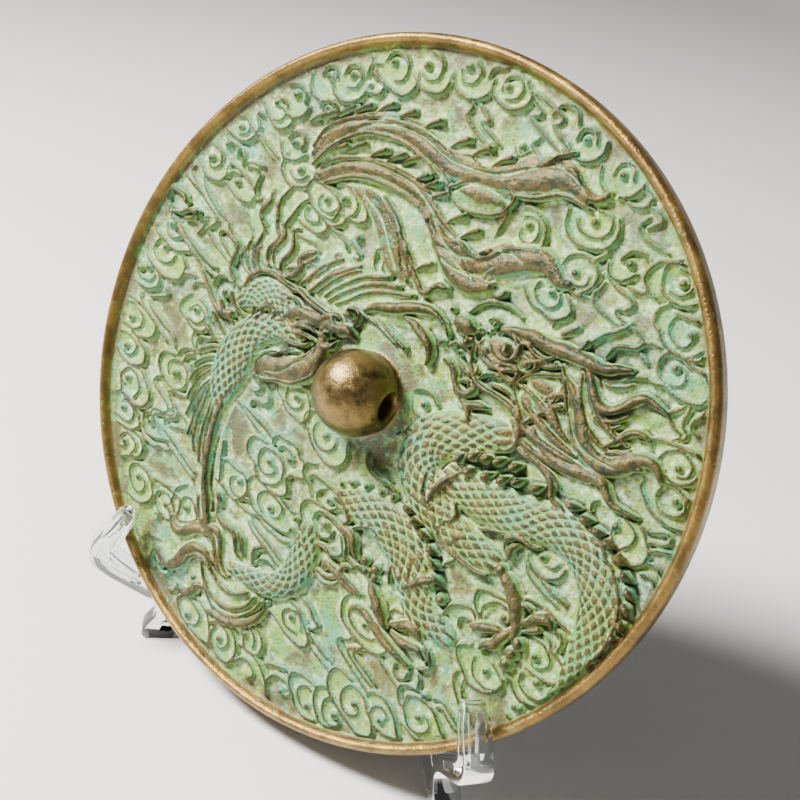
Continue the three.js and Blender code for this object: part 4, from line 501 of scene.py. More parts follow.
# Dragon: head, mane, spikes, feet
DRAGON = """
L 1.3 2.2 23 31.5 25 34.2 27.6 36 30.7 36.8 34.5 36.5 38 35 B 3.2 4 23 28.3
  S 4.6 3.9 20.6 28.2 23 28.4 26.4 28 B 1.6 3.8 25.7 24.2 L 1.1 2.8 17.2 26.5 18.8 24.5 19.5 23.4
  B 1.4 2.4 18 21.5 B 1.1 2.4 21 21.8 24.2 20.7 B 0.9 2.8 28 28.4 30.5 28.4 31.5 31 18 30.7
  B 1.7 3 31.5 23.8
E 8.4 4.8 -12 2.3 36 25 B 2.2 3.4 37.2 25.7 B 1.2 4.2 37.2 25.7 S 3.8 3.5 34 30.5 37 31.5 41 31.8
  45 31.5 49 31 53 31.2 57 31 64.4 30.7 67 31.8 70.5 32.6 L 1.2 3 39.9 28.4 42.2 29.5 43.8 28.4 46 27.6
  B 1.8 3 43.4 24.5 L 1.2 2.9 41.8 26 44.2 25.3 47.2 26.5 49.5 26.8 B 1.1 2.6 51.3 27.2
L 1.5 2.8 32.6 22.6 35 21.5 36.8 20.3 38.8 19.2 41 18.8 42.2 20.3 41.8 22.2 39.5 22.6 36.5 22.2
  34.2 22.6 S 1.8 2.8 26.5 26 27.6 23.8 27.6 22.2 28.4 19.5 29.9 16.8 32.2 14.9 34.9 14.2 38.8 13.6
  42.2 12.8 45.3 11.5 47.2 9.2 48.2 6.5 48 3.8 46.5 1.8 44.5 1.3 43.4 2.6 43.4 3.4
L 1.2 2.6 32.2 16.5 33.4 18 35.7 18.8 37.6 18.8 L 1.3 2.6 36 16 38.8 16 41.5 15.7 43.4 14.2
  S 2.2 2.2 20 17.2 21.5 17.6 23.4 16.5 25.7 14.5
  S 1.8 2.4 31.5 14.5 31 12.2 29.2 10.7 26.8 10.3 25.7 11.5
  S 1.8 2.6 28.8 9.5 31.5 7.6 33 5.7 34.2 3.8 35.7 4.2
E 6.4 3.4 -8 1.7 49.6 20.6 L 1.3 2.4 43 19.5 45.3 22.2 49.2 23.8 53 25 54.8 25.5
  L 1.3 2.4 41.8 19.2 45.7 18.4 49.2 17.2 53 15.7 E 4.4 2.4 -50 1.8 46.8 15.2 L 1.2 2.3 41.8 18.4
  43.8 15.3 45.7 12.6 48 10.3 50 12.2 51.8 15
L 1.2 2 54.8 24.5 54.8 21 54 18.4 53.2 16 51 12.2 h 55.9 21 55.9 17.6 53.6 15.1
  L 1.4 1.6 58 35.7 60 38 62.8 40 65.2 41.8 66.3 43.4 L 1.3 1.6 66.7 42.6 69 41.5 71 40.3
  L 1.5 2 63.2 33.4 64.4 36.5 66.7 37.6 69.8 38.4 71 40 L 1.7 2.3 54.8 31.5 56.7 33.8 57.3 35.7
S 3.2 3.2 59.4 29.5 61.7 26.8 63.6 23.8 65.5 21.8 68.2 21 70.5 21.8 72.8 24.2 74.8 26.5 77 27.4
  79.8 26.8 82.8 26 L 1.5 2.4 64.4 21 66.3 19.5 69.4 18.8 72 20 74 22.2
  L 1.3 2.2 65.5 18.4 68.2 17 70.5 17.2 72.8 18.8 V 1.2 0.6 61 24.6 64.6 20.4 68.6 19.6 73.4 22.8 77 26
S 5 3.2 56.3 23.8 58.6 22.2 60.9 19.6 62.8 16.6 64.4 13.4 65.9 11 68.6 9 71.7 8 74.4 8.6 76.7 10 79 12
  81.3 13.2 83.6 13.3 85.5 12.2 87 10.3 L 1.3 3 55.4 25 60.6 20.8 64 15.2 67.6 10.8 72 9.6
  L 1.6 2.6 56.7 22.2 58.6 20 59.4 16.8 60.5 14.2 62 11.8 64.4 9.5 67.5 7.6 70.5 6.8 73.6 6.5 75.9 7.6
  78.2 9.5 81.7 10.7
S 2 2.4 70.5 12.6 72.8 14.5 75.2 17.6 77.5 18.8 79.8 18.8 81.7 18
  L 1.2 2.4 71.7 11 74 12.2 76 12.6 77.5 14.2 S 3 2.8 51 9.5 53.2 7.6 55.9 5.7 59.8 4.2 63.6 3.6
  67.5 4.2 70.5 4.3 73.6 3.8 75.5 1.8 77.5 0 79.8 -0.5 84.8 -0.8
  L 1.5 2.2 49 5 52 3.4 55.9 1.8 59.8 0.7 62 -0.5 63.2 -2 L 1 2 56.7 13.4 55.2 12.2
  L 1.1 2 57 10.6 58 9.4
S 2 2.4 54 2 57.8 0.5 60.2 -0.7 61.3 -2.2 61.7 -4.2 63.2 -5.7 65.5 -6 67.5 -7.2 B 1.1 2.6 20.3 0
  19.2 -2.2 17.6 -3.8 16.5 -5.3 13.4 -6.8 17.5 -11 18.8 -15.3 21 -17.2 23.4 -19 25.3 -20 27.6 -21
L 1.3 3.7 26.8 -12.6 27.2 -15.3 28 -18.4 30 -20 S 1.9 3.8 35.7 -9.2 33.4 -11.8 31.5 -14.5 30.3 -18
  30.3 -20.3 L 1.5 2.7 30 -20.7 31.8 -23 34.5 -25.3 36.8 -27.6 39.5 -29.2 43 -30.3 46.5 -31 49.5 -31.5
  53 -31 L 1.4 3 37.2 -16.8 38.8 -19.2 38.4 -21.5 36.5 -23 35.3 -25 S 2 2.4 43.4 -24.5 41 -26 40.3 -28
k 34.5 -5.3 38 -3.4 41.5 -2.8 45.3 -2 50 -1.5 k 38.4 -7.6 43.4 -6.8 48 -6 52 -5 57.5 -4.4 k 68.6 -4.6
  72.8 -6.3 77 -7.8 80.5 -9.5 84.4 -12.2 87.5 -15.3 89.8 -18.8 90.6 -23 91 -27.6 90.5 -32 88.6 -36.5
  86.7 -40.3 L 1 3 77.8 -10 81 -12.6 83.6 -15 86 -18 87.8 -21 89 -25 89.2 -30.7 88.6 -34.5 87.5 -38.4
L 1 2.6 46.5 -20.7 49.2 -19.5 53 -19 B 1.2 2.6 2.6 -26.5 5.7 -25 10.3 -24 15.3 -23.6 19.2 -23.4
  k 25 -24.2 28 -26.5 31.5 -28.8 35.3 -31.8 37.6 -35 40 -38.4 L 1.4 2.4 -2 -28.4 1 -29.2 3.8 -30.3
  5.7 -31.8 7.2 -33.8 8 -35.3 6.8 -36.8
L 1.4 2.2 -2 -36.5 0.3 -36.5 3 -37.2 5.7 -38.4 8.4 -39.5 10 -41.8 10.7 -44.5 13 -46 15.3 -46
  S 2.6 2.7 5.7 -38 9.5 -38 11.5 -39.5 12.6 -42.2 14.2 -44.2 L 1.3 2.6 10.3 -36.5 12.2 -35.3 14.5 -34.2
  17.2 -34.3 20 -35.7 L 1.4 2 -2 -47.2 0.7 -45.7 3.4 -45.7 6 -46.7 8.4 -46 9.5 -44.5 8.4 -42.2 7.2 -40.3
B 1.8 2.7 17 -43.4 18 -46 21 -44.2 21.8 -46.5 L 1.3 2.6 25 -41 25.7 -43.4 26.5 -46 B 1.8 3 28.8 -42.6
  L 1.5 3 32.2 -35.7 30.7 -38 31.8 -40.7 32.6 -43 S 2.6 3.7 40.3 -38 38 -39.5 35.7 -40.7 33.4 -43 31 -45
  B 1.9 3 42.6 -43 V 1.4 0.8 21.8 -47.8 25 -47.6 28.8 -47.4 31.5 -47.2
S 3.2 2.8 20.7 -48 23 -50.7 25.7 -53 L 1.7 2.2 14.2 -47.2 11.5 -47.6 10.7 -49.5 12.6 -50.7 16 -51.8
  19.5 -53 S 2.2 2.2 4.5 -49.2 7.6 -50 10.3 -51 13.4 -52.6
  S 2.6 2.2 5.7 -49.4 9.5 -50.5 13.4 -52.5 18 -53.6
S 2 2.6 54.8 -22.6 54.4 -20.3 55.2 -19.5 56.7 -18.4 59 -18 61.3 -18.8 64 -18.4
  S 2.2 2.8 57 -24.5 56.7 -21.8 58.2 -20 S 4.2 3 55 -28 57 -29 59.8 -30.7 61.7 -33 63.2 -35.3 64.4 -38
  65.5 -40.7 65.5 -43.4 B 2 3.1 56 -28 58.6 -30.4 61 -31.6 B 2.2 2.9 67.2 -43.8 66.3 -47.2 66 -50.3
  T 1.8 2.6 63.6 -35.3 65.5 -33.8 67.5 -34.2
T 3.4 3 65.2 -38.4 67.5 -38 69.4 -35.7 71.7 -34.5 S 2.4 2.8 69.4 -35.7 71.7 -34.5 73.6 -35 74.4 -36.5
  T 2 2.6 67.5 -40.3 69.4 -39.2 71 -38 S 2.8 2.8 53.2 -45.7 56 -44.5 59 -43.4 62 -42.8 p 54 -48
  S 3 2.8 64 -41.5 63.2 -43.4 61.7 -45.3 61 -47.2 58.6 -48.4 57.5 -50
"""

# The phoenix's tail at the lower left and the dragon's hind foot
TAIL_AND_FEET = """
S 2.4 2.2 -36.5 -49 -35.7 -51.3 -34.5 -52.8 -31.5 -54 -28.4 -54.4 -26.8 -56.3 -26 -58.2 -25 -60.2
  -23.8 -61 L 1.2 1.8 -26.5 -54 -24.5 -55.5 -23.4 -57.8 -22.2 -60.2 S 2.4 2.4 -44.2 -49.8 -43 -52.8
  -41 -55.5 -38.8 -56.5 -36 -56.7 -33.8 -56.7 -31.8 -58.2 -30.7 -60.5 -30 -63.2 -28.4 -65.5 -26 -67.5
  -24.5 -67.8
S 2.2 2.3 -42.6 -58.2 -40 -57.4 -36.8 -58 -34.5 -59.4 -32.6 -62 -31.5 -64.2 -30 -66.6 -28 -68.2
  -26 -68.9 S 3.6 2.7 -53 -58.2 -50.7 -60.5 -48.8 -62.5 -46 -62.5 -43.8 -61 -41.5 -59.4 -38.8 -59
  -36.5 -60 S 3.6 2.8 -53 -71.3 -50.7 -72.8 -47.6 -74 -45.3 -72.8 -43.8 -70.2 -42.6 -67.5 -40.7 -65.2
  -38.4 -64.4 -35.7 -64.4 -33.8 -65.5 -32.2 -66.3
L 1.6 2.6 -53 -72.4 -49.2 -74.6 -45.3 -74.2 -42 -71.3 -40.8 -68.6 -38.5 -66.7 -36.8 -66.4 -33.8 -67.1
  -31.5 -68.8 -29.2 -70.5 -26.8 -71.7 -24.2 -72 -21.5 -71.9 -19.2 -71 -16.8 -69.4 L 1.6 2.2 -35.7 -68.2
  -33.8 -71.7 -31 -74.4 -28 -76 -24.5 -76.7 -21 -76.3 -17.6 -74.8 -15.3 -72.5 -14.2 -69.8
L 1.4 2.1 -28.4 -78.2 -25.3 -79 -21 -79 -17.2 -77.5 -14.2 -74.8 -12.2 -72 -11.5 -69.8
  S 2.6 2.6 -29.5 -81 -26.8 -80.5 -23.8 -81 -20 -80.5 -16 -79 -12.6 -76.7 -10.3 -74 -9.2 -71.3 -9.5 -69
  L 1.4 2 -35.7 -67.8 -34.5 -70.5 -32.6 -73.6 -30 -76.7 -26.8 -79.4
S 3.2 2.5 -32.2 -75.2 -35 -75.5 -36 -77.8 -38 -79.4 -40.7 -79 -41.8 -78.2 B 1.4 2 -37.2 -74
  E 3.4 2 -60 2 -36.5 -47.2 B 1.1 2.3 -8.8 -42.2 -9.1 -45.7 -5.7 -43.8 -3.8 -46 -6 -48 -2.6 -48
S 3 2.8 18.4 -57.5 19.5 -56.3 21.8 -56.7 24.2 -57.8 26.5 -59 28.8 -60.5 31.5 -61.7 34.5 -62.8 37.6 -63.6
  40.3 -64.4 S 3.4 2.9 21.8 -49 24.2 -52 26.5 -54.4 28.4 -56.7 29.5 -57.5 S 2.8 2.8 30.7 -56.3
  33.4 -55.3 35.7 -54 38 -54 40 -54.8 41 -56 S 2.6 2.7 31.8 -58.2 35 -59 38.4 -59 41.5 -58.6 43 -59.8
  44.2 -61
S 1.8 2.2 42.2 -56.7 44.5 -58.2 45.7 -61 44.5 -62.8 42.2 -64 p 41.2 -64.8 44.8 -61.4
"""

# Further strands of the mane and the head, and of the phoenix's beak
STRANDS = """
S 2.4 2.8 58.5 27.5 60.5 22.5 63 18 67 14 72 11.5 S 2.2 2.6 61.5 28 63.5 23.5 66.5 19.5 71 16.5 76 15
S 2.2 2.6 44 12.5 47 10 51 8 57 6.6 63 5.8 69 5 S 2.2 2.6 46.5 15 50 13 54 11 59 8.8 64 7.4
S 2 2.5 49 17 53 15 57 12.5 61 10.4 S 2 2.4 44.5 9.5 47.5 6.5 52 4.6 58 3.4 64 2.6 70 2.6
S 1.8 2.2 45.5 5.5 49.5 3 55 1.2 S 1.8 2.4 52 19 55 15.5 58 12.8 S 2 2.6 53 27.6 56.4 21.4 59 16
S 1.5 3.1 33 29 35 30.4 38 30 40.4 27.6 40 25 37.5 23.4 34.5 24.3 33 26.6 B 1.7 3.6 36.8 26.8
S 1.4 2.9 39.5 30 42 29.4 45 27.8 48 27.4 50.4 29 S 1.4 2.8 41 27.2 44 26.8 46.4 25 45.4 23 42.6 22.2
S 1.3 2.6 42 31.6 45.5 30.6 49 30.4 52 29 S 1.2 2.5 29 31.4 31 32.4 33.4 31.8
  S 1.3 2.6 47 25.4 50 26 53.4 27.4
S 1.3 2.6 27 25 30 24 33 22.8 36 22.2 39 22.6 S 1.4 2.7 30 27 29 24.5 31 21.8 34 20.8 38 20.8 41 21.8
  42 19.8 40.4 18.2
S 1.2 2.4 20 22 23 23 26 22.4 29 20.4 S 1.2 2.4 21 25.6 24 26 26.6 24.4
  B 0.8 2.8 31.4 29.4 34 22 36.6 21.4 39 21.2
S 2.2 2.6 22 17.5 25 14 27 11.5 30 11 32 13.5 31.5 16 S 2.2 2.4 28 10 31 8.5 34 9.5 37 9.8
  S 1.8 2.2 31 8 33 5.5 35 4
S 1.6 2.2 24.6 19 28 16.4 30.6 17.4 30 19.6 S 1.5 2.2 26.8 13.8 29.4 14.4 30 12.4
S 3.2 2.8 -34 9.5 -31 13 -26 14.6 -21 14.4 S 2.6 2.6 -30 9 -27 11 -23 12.5 -20 13
  S 1.6 2.4 -37 9 -38.4 13 -37 16.4
S 1.5 2.4 -40.6 8 -41 12 -39.4 15.6 S 2 3.2 -20 16 -17.4 16.4 -15.6 14 -16.4 11.4 -19 10.6 -20 12.6
L 1.8 1.9 -35 25 -29 30.5 L 1.8 1.9 -31.6 21.5 -26 28.6 -20.6 32.6 L 1.8 2 -28 20.6 -22.6 27 -14 32.6
"""

# Creases along the plumes, the mane and the breast, and the small neck feathers
CREASES = """
C 0.9 0.8 -36 -2 -30 0.4 -26 3.4 -22 4 -20 8 C 0.9 0.8 -34 -5.8 -28 -4 -24 0 -21 2
C 0.9 1.0 56 24 58 20 60.6 15 64.5 10.6 70 8.9 76 8.6 C 0.8 0.9 59.6 26 61.8 21.4 65 16.6 70 13
C 0.8 0.8 -36 62 -28 68.6 -18 72 -8 72 2 68.4 12 67.4 20 68.4 28 73 C 0.8 0.8 -34 56.4 -26 60 -16 60.6
  -6 58.6 2 54 8 47.6 14 44.6 20 45.4
C 0.8 0.8 -30 69.6 -20 73.6 -10 74 -1 71.6 C 0.7 0.7 10 42.4 16 40.8 22 41.6 26 45
  C 0.7 0.7 -20 51.6 -13 47.6 -8 41.6 -3 35.4
C 0.7 0.8 32 75 38 73.4 43 70.4 C 0.7 0.7 25 49.6 30 49.6 34 48.4
C 1.3 1.4 -52 8 -47 7.8 -42 9.8 -37 10.6 T 2 2.6 -48.6 6.6 -51.6 8.4 -54 11.4
  T 2 2.6 -50.6 3.4 -54 5 -57 8 T 2 2.6 -52 -0.4 -55.4 1 -58.4 3.8 T 2 2.4 -52.8 -4 -56 -3 -59.6 -0.6
T 1.8 2.6 -46 5 -44.4 7.6 -44.6 10.4 T 1.8 2.6 -42.6 6.6 -41.4 9 -42 11.6
  T 1.8 2.6 -39.4 8 -38.6 10.4 -39.4 12.8 S 1.4 2.9 -51 14 -49.6 18 -46.6 20.8 -42 21.6 -37 20.6
  -32 19.6 -26 18.4
"""

FIGURES = (FLOORS, PHOENIX, PLUMES, DRAGON, TAIL_AND_FEET, STRANDS, CREASES)

# Scaled bodies: path, widths, heights, scale length and width, all mm.
COATS = (
    ((43, 4, 34, 1, 25, -4, 23, -12, 29, -19, 40, -25, 52, -27),
     (9, 13, 15, 14, 12, 10, 8), (2, 2.9, 3.1, 3.1, 2.9, 2.6, 2), 4.8, 2.8),
    ((36, -12, 46, -13, 56, -13.4, 66, -11.5, 76, -14, 83, -22, 84.6, -31, 83, -42, 80.6, -51),
     (12, 13.5, 12.5, 12, 13, 13.5, 12, 7, 3), (2.4, 3, 3, 2.9, 3, 3.2, 3, 2.6, 2), 4.4, 2.6),
    ((4, -30, 11, -30, 20, -31, 28.6, -35.5, 33, -42, 38, -48.6, 47, -51.8),
     (8, 12, 14.5, 15, 13, 11, 7), (2, 2.6, 3, 3, 2.8, 2.4, 1.8), 4.6, 2.8),
    ((-3.4, -43.6, -2.6, -51, -3.8, -58.6, -9.6, -63.8, -17.5, -65, -25, -65),
     (7, 11, 10, 8, 6.4, 4), (2.4, 3, 3, 2.8, 2.4, 2), 4.2, 2.5),
    ((-49, 11.5, -45, 14.6, -38.5, 15, -32, 11.6), (7, 11.5, 11, 6), (2.2, 2.8, 2.8, 2.2), 3.0, 2.0),
    ((-47.4, -23, -47.2, -12, -45.6, -3, -41, 4.6, -34, 7.4, -27, 7.4),
     (4, 12, 15.5, 12, 8.5, 5), (2, 3, 3.4, 3.1, 2.5, 2), 4.2, 2.6),
)


def linear(red, green, blue):
    """Screen colour from 0 to 255 to linear light, as Blender's sockets read it."""
    def one(value):
        v = value / 255
        return v / 12.92 if v <= 0.04045 else ((v + 0.055) / 1.055) ** 2.4
    return (one(red), one(green), one(blue))


# Relief field

def curve(flat, per_span=5):
    """Points on a smooth line through the listed points: on each span the cubic
    0.5*(2b + (c-a)t + (2a-5b+4c-d)t^2 + (3b-a-3c+d)t^3) of its four neighbours a, b, c, d."""
    p = np.asarray(flat, float).reshape(-1, 2)
    q = np.vstack([2 * p[0] - p[1], p, 2 * p[-1] - p[-2]])
    t = np.linspace(0, 1, per_span, endpoint=False)[:, None]
    a, b, c, d = (q[i:len(q) - 3 + i, None] for i in range(4))
    spans = 0.5 * (2 * b + (c - a) * t + (2 * a - 5 * b + 4 * c - d) * t ** 2
                   + (3 * b - a - 3 * c + d) * t ** 3)
    return np.vstack([spans.reshape(-1, 2), p[-1:]])


def along(points):
    """Distance run along a line at each of its points."""
    step = np.hypot(*np.diff(points, axis=0).T)
    return np.concatenate([[0], np.cumsum(step)])


def spread(points, values):
    """Values listed at even steps along a line, at each of its points."""
    run = along(points)
    return np.interp(run / run[-1], np.linspace(0, 1, len(values)), values)


def nearest(x, y, a, b):
    """For each x, y the nearest point of the line from a to b: its share of the way along,
    and the square of its distance."""
    e = b - a
    t = np.clip(((x - a[0]) * e[0] + (y - a[1]) * e[1]) / max(e @ e, 1e-9), 0, 1)
    return t, (x - a[0] - t * e[0]) ** 2 + (y - a[1] - t * e[1]) ** 2


class Relief:
    """Height above the relief ground on a square grid, in mm."""

    def __init__(self):
        self.axis = np.linspace(-FIELD_HALF, FIELD_HALF, FIELD_COUNT)
        self.h = np.zeros((FIELD_COUNT, FIELD_COUNT), np.float32)
        self.top = np.zeros((FIELD_COUNT, FIELD_COUNT), np.float32)
        self.pits = []

    def lay(self, cut, height, share):
        """Keeps the higher of the field and a new shape. share is 1 on the shape's own top
        and 0 at its foot, and is kept with it."""
        higher = height > self.h[cut]
        self.h[cut] = np.where(higher, height, self.h[cut])
        self.top[cut] = np.where(higher, share, self.top[cut])

    def patch(self, low, high):
        """The part of the grid between two corners: its slices, and x and y there."""
        first, last = (
            np.clip((np.asarray(corner) + FIELD_HALF) / FIELD_PITCH + more, 0, FIELD_COUNT).astype(int)
            for corner, more in ((low, 0), (high, 2)))
        cut = (slice(first[1], last[1]), slice(first[0], last[0]))
        return cut, self.axis[cut[1]][None, :], self.axis[cut[0]][:, None]

    def ridge(self, flat, widths, heights, sink=False):
        """Highest of the field and h*(1 - (d/r)^2)^RIDGE_POWER round a line, d the distance
        to it. A groove is the same shape taken away."""
        p = curve(flat)
        radius = spread(p, widths) / 2
        height = spread(p, heights)
        for i in range(len(p) - 1):
            a, b = p[i], p[i + 1]
            reach = max(radius[i], radius[i + 1])
            cut, x, y = self.patch(np.minimum(a, b) - reach, np.maximum(a, b) + reach)
            t, d2 = nearest(x, y, a, b)
            r = radius[i] + (radius[i + 1] - radius[i]) * t
            share = np.clip(1 - d2 / r ** 2, 0, 1)
            v = (height[i] + (height[i + 1] - height[i]) * t) * share ** RIDGE_POWER
            if sink:
                lower = np.minimum(self.h[cut], GROOVE_LEVEL - v)
                self.h[cut] = np.where(v > 0, lower, self.h[cut])
                self.top[cut] = self.top[cut] * (1 - share)
            else:
                self.lay(cut, v, share)

    def boss(self, x0, y0, rx, ry, height, turn=0.0, power=0.7):
        """h*(1 - (u/rx)^2 - (v/ry)^2)^power on a turned ellipse."""
        reach = max(rx, ry)
        cut, x, y = self.patch((x0 - reach, y0 - reach), (x0 + reach, y0 + reach))
        c, s = math.cos(turn), math.sin(turn)
        u = (x - x0) * c + (y - y0) * s
        v = (y - y0) * c - (x - x0) * s
        share = np.clip(1 - (u / rx) ** 2 - (v / ry) ** 2, 0, 1)
        self.lay(cut, height * share ** power, share)

    def crease(self, flat, width, depth):
        """Takes depth*(1 - (d/r)^2) off the field along a line, thinner at both ends."""
        p = curve(flat)
        run = along(p)
        radius = width * (0.35 + 0.65 * np.sin(np.pi * run / run[-1])) / 2
        cut, x, y = self.patch(p.min(0) - width, p.max(0) + width)
        share = np.zeros(np.broadcast(x, y).shape)
        for a, b, r in zip(p[:-1], p[1:], radius[1:]):
            share = np.maximum(share, 1 - nearest(x, y, a, b)[1] / max(r, FIELD_PITCH) ** 2)
        self.h[cut] = np.maximum(self.h[cut] - depth * share, 0)
        self.top[cut] = self.top[cut] * (1 - share)

    def floor(self, flat, height, soft, share=0.0):
        """A raised floor inside a closed line, with an edge that falls over a soft width.
        A floor with a share rises a little more toward its middle."""
        p = curve(list(flat) + list(flat[:2]))
        cut, x, y = self.patch(p.min(0) - soft, p.max(0) + soft)
        inside = np.zeros(np.broadcast(x, y).shape, bool)
        near = np.full(inside.shape, 1e9)
        for a, b in zip(p, np.roll(p, -1, axis=0)):
            e = b - a
            if e @ e < 1e-9:
                continue
            near = np.minimum(near, nearest(x, y, a, b)[1])
            if abs(e[1]) > 1e-9:
                inside ^= ((a[1] > y) != (b[1] > y)) & (x < a[0] + (y - a[1]) * e[0] / e[1])
        reach = np.sqrt(near) * np.where(inside, 1, -1)
        k = np.clip(reach / soft + 0.5, 0, 1)
        k = k * k * (3 - 2 * k)
        dome = 1 + 0.35 * (np.clip(reach / 5, 0, 1) - 0.5) * (share > 0)
        self.lay(cut, height * dome * k, share * k)

    def coat(self, flat, widths, heights, length, width):
        """A rounded body with overlapping scales. Along the body s and across it t, each scale
        is 1 - |2f-1|^4 in both directions, rows staggered by half a scale."""
        p = curve(flat, 8)
        run = along(p)
        radius = spread(p, widths) / 2
        height = spread(p, heights)
        reach = radius.max()
        cut, x, y = self.patch(p.min(0) - reach, p.max(0) + reach)
        shape = np.broadcast(x, y).shape
        best = np.ones(shape)
        s, t, top, half = (np.zeros(shape) for _ in range(4))
        for i in range(len(p) - 1):
            a, b = p[i], p[i + 1]
            e = b - a
            span = math.hypot(*e)
            u, d2 = nearest(x, y, a, b)
            r = radius[i] + (radius[i + 1] - radius[i]) * u
            closer = d2 / r ** 2 < best
            best = np.where(closer, d2 / r ** 2, best)
            s = np.where(closer, run[i] + u * span, s)
            t = np.where(closer, ((y - a[1]) * e[0] - (x - a[0]) * e[1]) / span, t)
            top = np.where(closer, height[i] + (height[i + 1] - height[i]) * u, top)
            half = np.where(closer, r, half)
        body = top * np.clip(1 - best, 0, 1) ** 0.42 * 0.72
        half = np.maximum(half, 1e-6)
        across = np.arcsin(np.clip(t / half, -1, 1)) * half
        u = s / length + across / width
        v = s / length - across / width
        fu = 2 * (u - np.floor(u)) - 1
        fv = 2 * (v - np.floor(v)) - 1
        scale = np.clip((1 - fu ** 4) * (1 - fv ** 4), 0, 1) ** 0.6 * (0.7 + 0.15 * (fu + fv))
        body = body + SCALE_RISE * scale * np.clip(1 - best ** 3, 0, 1) * (body > 0.2)
        self.lay(cut, body, np.clip(scale * 1.9 - 0.45, 0, 1) * (1 - best ** 5))

    def draw(self, text):
        """Draws each stroke of a drawing, in the order written."""
        for kind, numbers in re.findall(r"([A-Za-z])([^A-Za-z]*)", text):
            v = [float(word) for word in numbers.split()]
            pairs = list(zip(v[0::2], v[1::2]))
            if kind in LINES:
                if kind == "o":
                    self.floor(v, LOBE_FLOOR, LOBE_SOFT)
                self.ridge(v, *LINES[kind])
            elif kind in RIDGES:
                widths, heights = RIDGES[kind]
                self.ridge(v[2:], [v[0] * share for share in widths],
                           [v[1] * share for share in heights], sink=kind == "V")
            elif kind in ("b", "B"):
                radius, height = BEAD if kind == "b" else v[:2]
                for x, y in pairs if kind == "b" else pairs[1:]:
                    self.boss(x, y, radius, radius, height, power=BEAD_POWER)
            elif kind == "E":
                self.boss(v[4], v[5], v[0], v[1], v[3], math.radians(v[2]))
            elif kind == "F":
                self.floor(v[1:], v[0], FLOOR_SOFT)
            elif kind == "W":
                self.floor(v[1:], v[0], RUBBED_SOFT, 0.3 + 0.4 * v[0])
            elif kind == "C":
                self.crease(v[2:], v[0], v[1])
            elif kind == "h":
                line, widths, heights = BARB
                for spot in pairs:
                    self.ridge(np.reshape(line, (-1, 2)) + spot, widths, heights)
            elif kind == "k":
                self.spikes(v)
            elif kind == "p":
                self.pits += pairs

    def spikes(self, flat):
        """Leaf shaped spikes along a line, each turned by SPIKE_TURN from it."""
        p = np.reshape(flat, (-1, 2))
        way = np.gradient(p, axis=0)
        steps, widths, heights = SPIKE
        for spot, turn in zip(p, np.arctan2(way[:, 1], way[:, 0]) + SPIKE_TURN):
            out = np.array([math.cos(turn), math.sin(turn)])
            self.ridge([spot + step * out for step in steps], widths, heights)

    def drill(self):
        """Pits left by the drilled ends, cut last."""
        reach = PIT_R + 0.15
        for x0, y0 in self.pits:
            cut, x, y = self.patch((x0 - reach, y0 - reach), (x0 + reach, y0 + reach))
            d2 = ((x - x0) ** 2 + (y - y0) ** 2) / PIT_R ** 2
            k = np.clip(1.4 - 1.4 * d2, 0, 1)
            self.h[cut] = self.h[cut] * (1 - k) + np.minimum(self.h[cut], PIT_FLOOR) * k
            self.top[cut] = self.top[cut] * (1 - k)


def soften(field, cells, passes=2):
    """Running mean over a square of 2*cells+1 points, repeated."""
    size = 2 * cells + 1
    for _ in range(passes):
        for axis in (0, 1):
            pad = [(0, 0), (0, 0)]
            pad[axis] = (cells + 1, cells)
            total = np.cumsum(np.pad(field, pad, mode="edge"), axis=axis, dtype=np.float64)
            high = np.take(total, range(size, total.shape[axis]), axis=axis)
            low = np.take(total, range(0, total.shape[axis] - size), axis=axis)
            field = ((high - low) / size).astype(np.float32)
    return field


def sample(field, x, y):
    """Value of the field between its points, weighted by distance on both axes."""
    last = field.shape[0] - 1.001
    u = np.clip((x + FIELD_HALF) / FIELD_PITCH, 0, last)
    v = np.clip((y + FIELD_HALF) / FIELD_PITCH, 0, last)
    i, j = u.astype(int), v.astype(int)
    fu, fv = u - i, v - j
    return ((field[j, i] * (1 - fu) + field[j, i + 1] * fu) * (1 - fv)
            + (field[j + 1, i] * (1 - fu) + field[j + 1, i + 1] * fu) * fv)


def cloud_noise(rng, size_mm):
    """Soft random heights from -1 to 1 on the relief grid: random values every size_mm,
    joined by the smooth step t*t*(3-2t) on both axes."""
    cells = int(2 * FIELD_HALF / size_mm) + 3
    grid = rng.uniform(-1, 1, (cells, cells))
    u = np.linspace(0, (FIELD_COUNT - 1) * FIELD_PITCH / size_mm, FIELD_COUNT)
    i = u.astype(int)
    t = u - i
    t = t * t * (3 - 2 * t)
    rows = grid[i] * (1 - t)[:, None] + grid[i + 1] * t[:, None]
    return (rows[:, i] * (1 - t) + rows[:, i + 1] * t).astype(np.float32)


def make_relief():
    """The whole relief, worn and slightly uneven as a casting is, and the share of each point
    in the top of its own shape."""
    relief = Relief()
    for drawing in CLOUDS:
        relief.draw(drawing)
    for path, widths, heights, length, width in COATS:
        relief.coat(path, widths, heights, length, width)
    for drawing in FIGURES:
        relief.draw(drawing)
    relief.drill()
    rng = np.random.default_rng(7)
    h = soften(relief.h, 1, 1)
    broad = cloud_noise(rng, 9) * 0.5 + cloud_noise(rng, 4) * 0.3
    h = h * (RELIEF_GAIN + UNEVEN * broad) + UNEVEN * broad
    return h.astype(np.float32), relief.top


# Disc mesh

@contextmanager
def edited(mesh):
    """The mesh open for editing, written back at the end."""
    bm = bmesh.new()
    bm.from_mesh(mesh)
    yield bm
    bm.to_mesh(mesh)
    bm.free()


def place(name, data):
    """A new object in the scene."""
    obj = bpy.data.objects.new(name, data)
    bpy.context.scene.collection.objects.link(obj)
    return obj


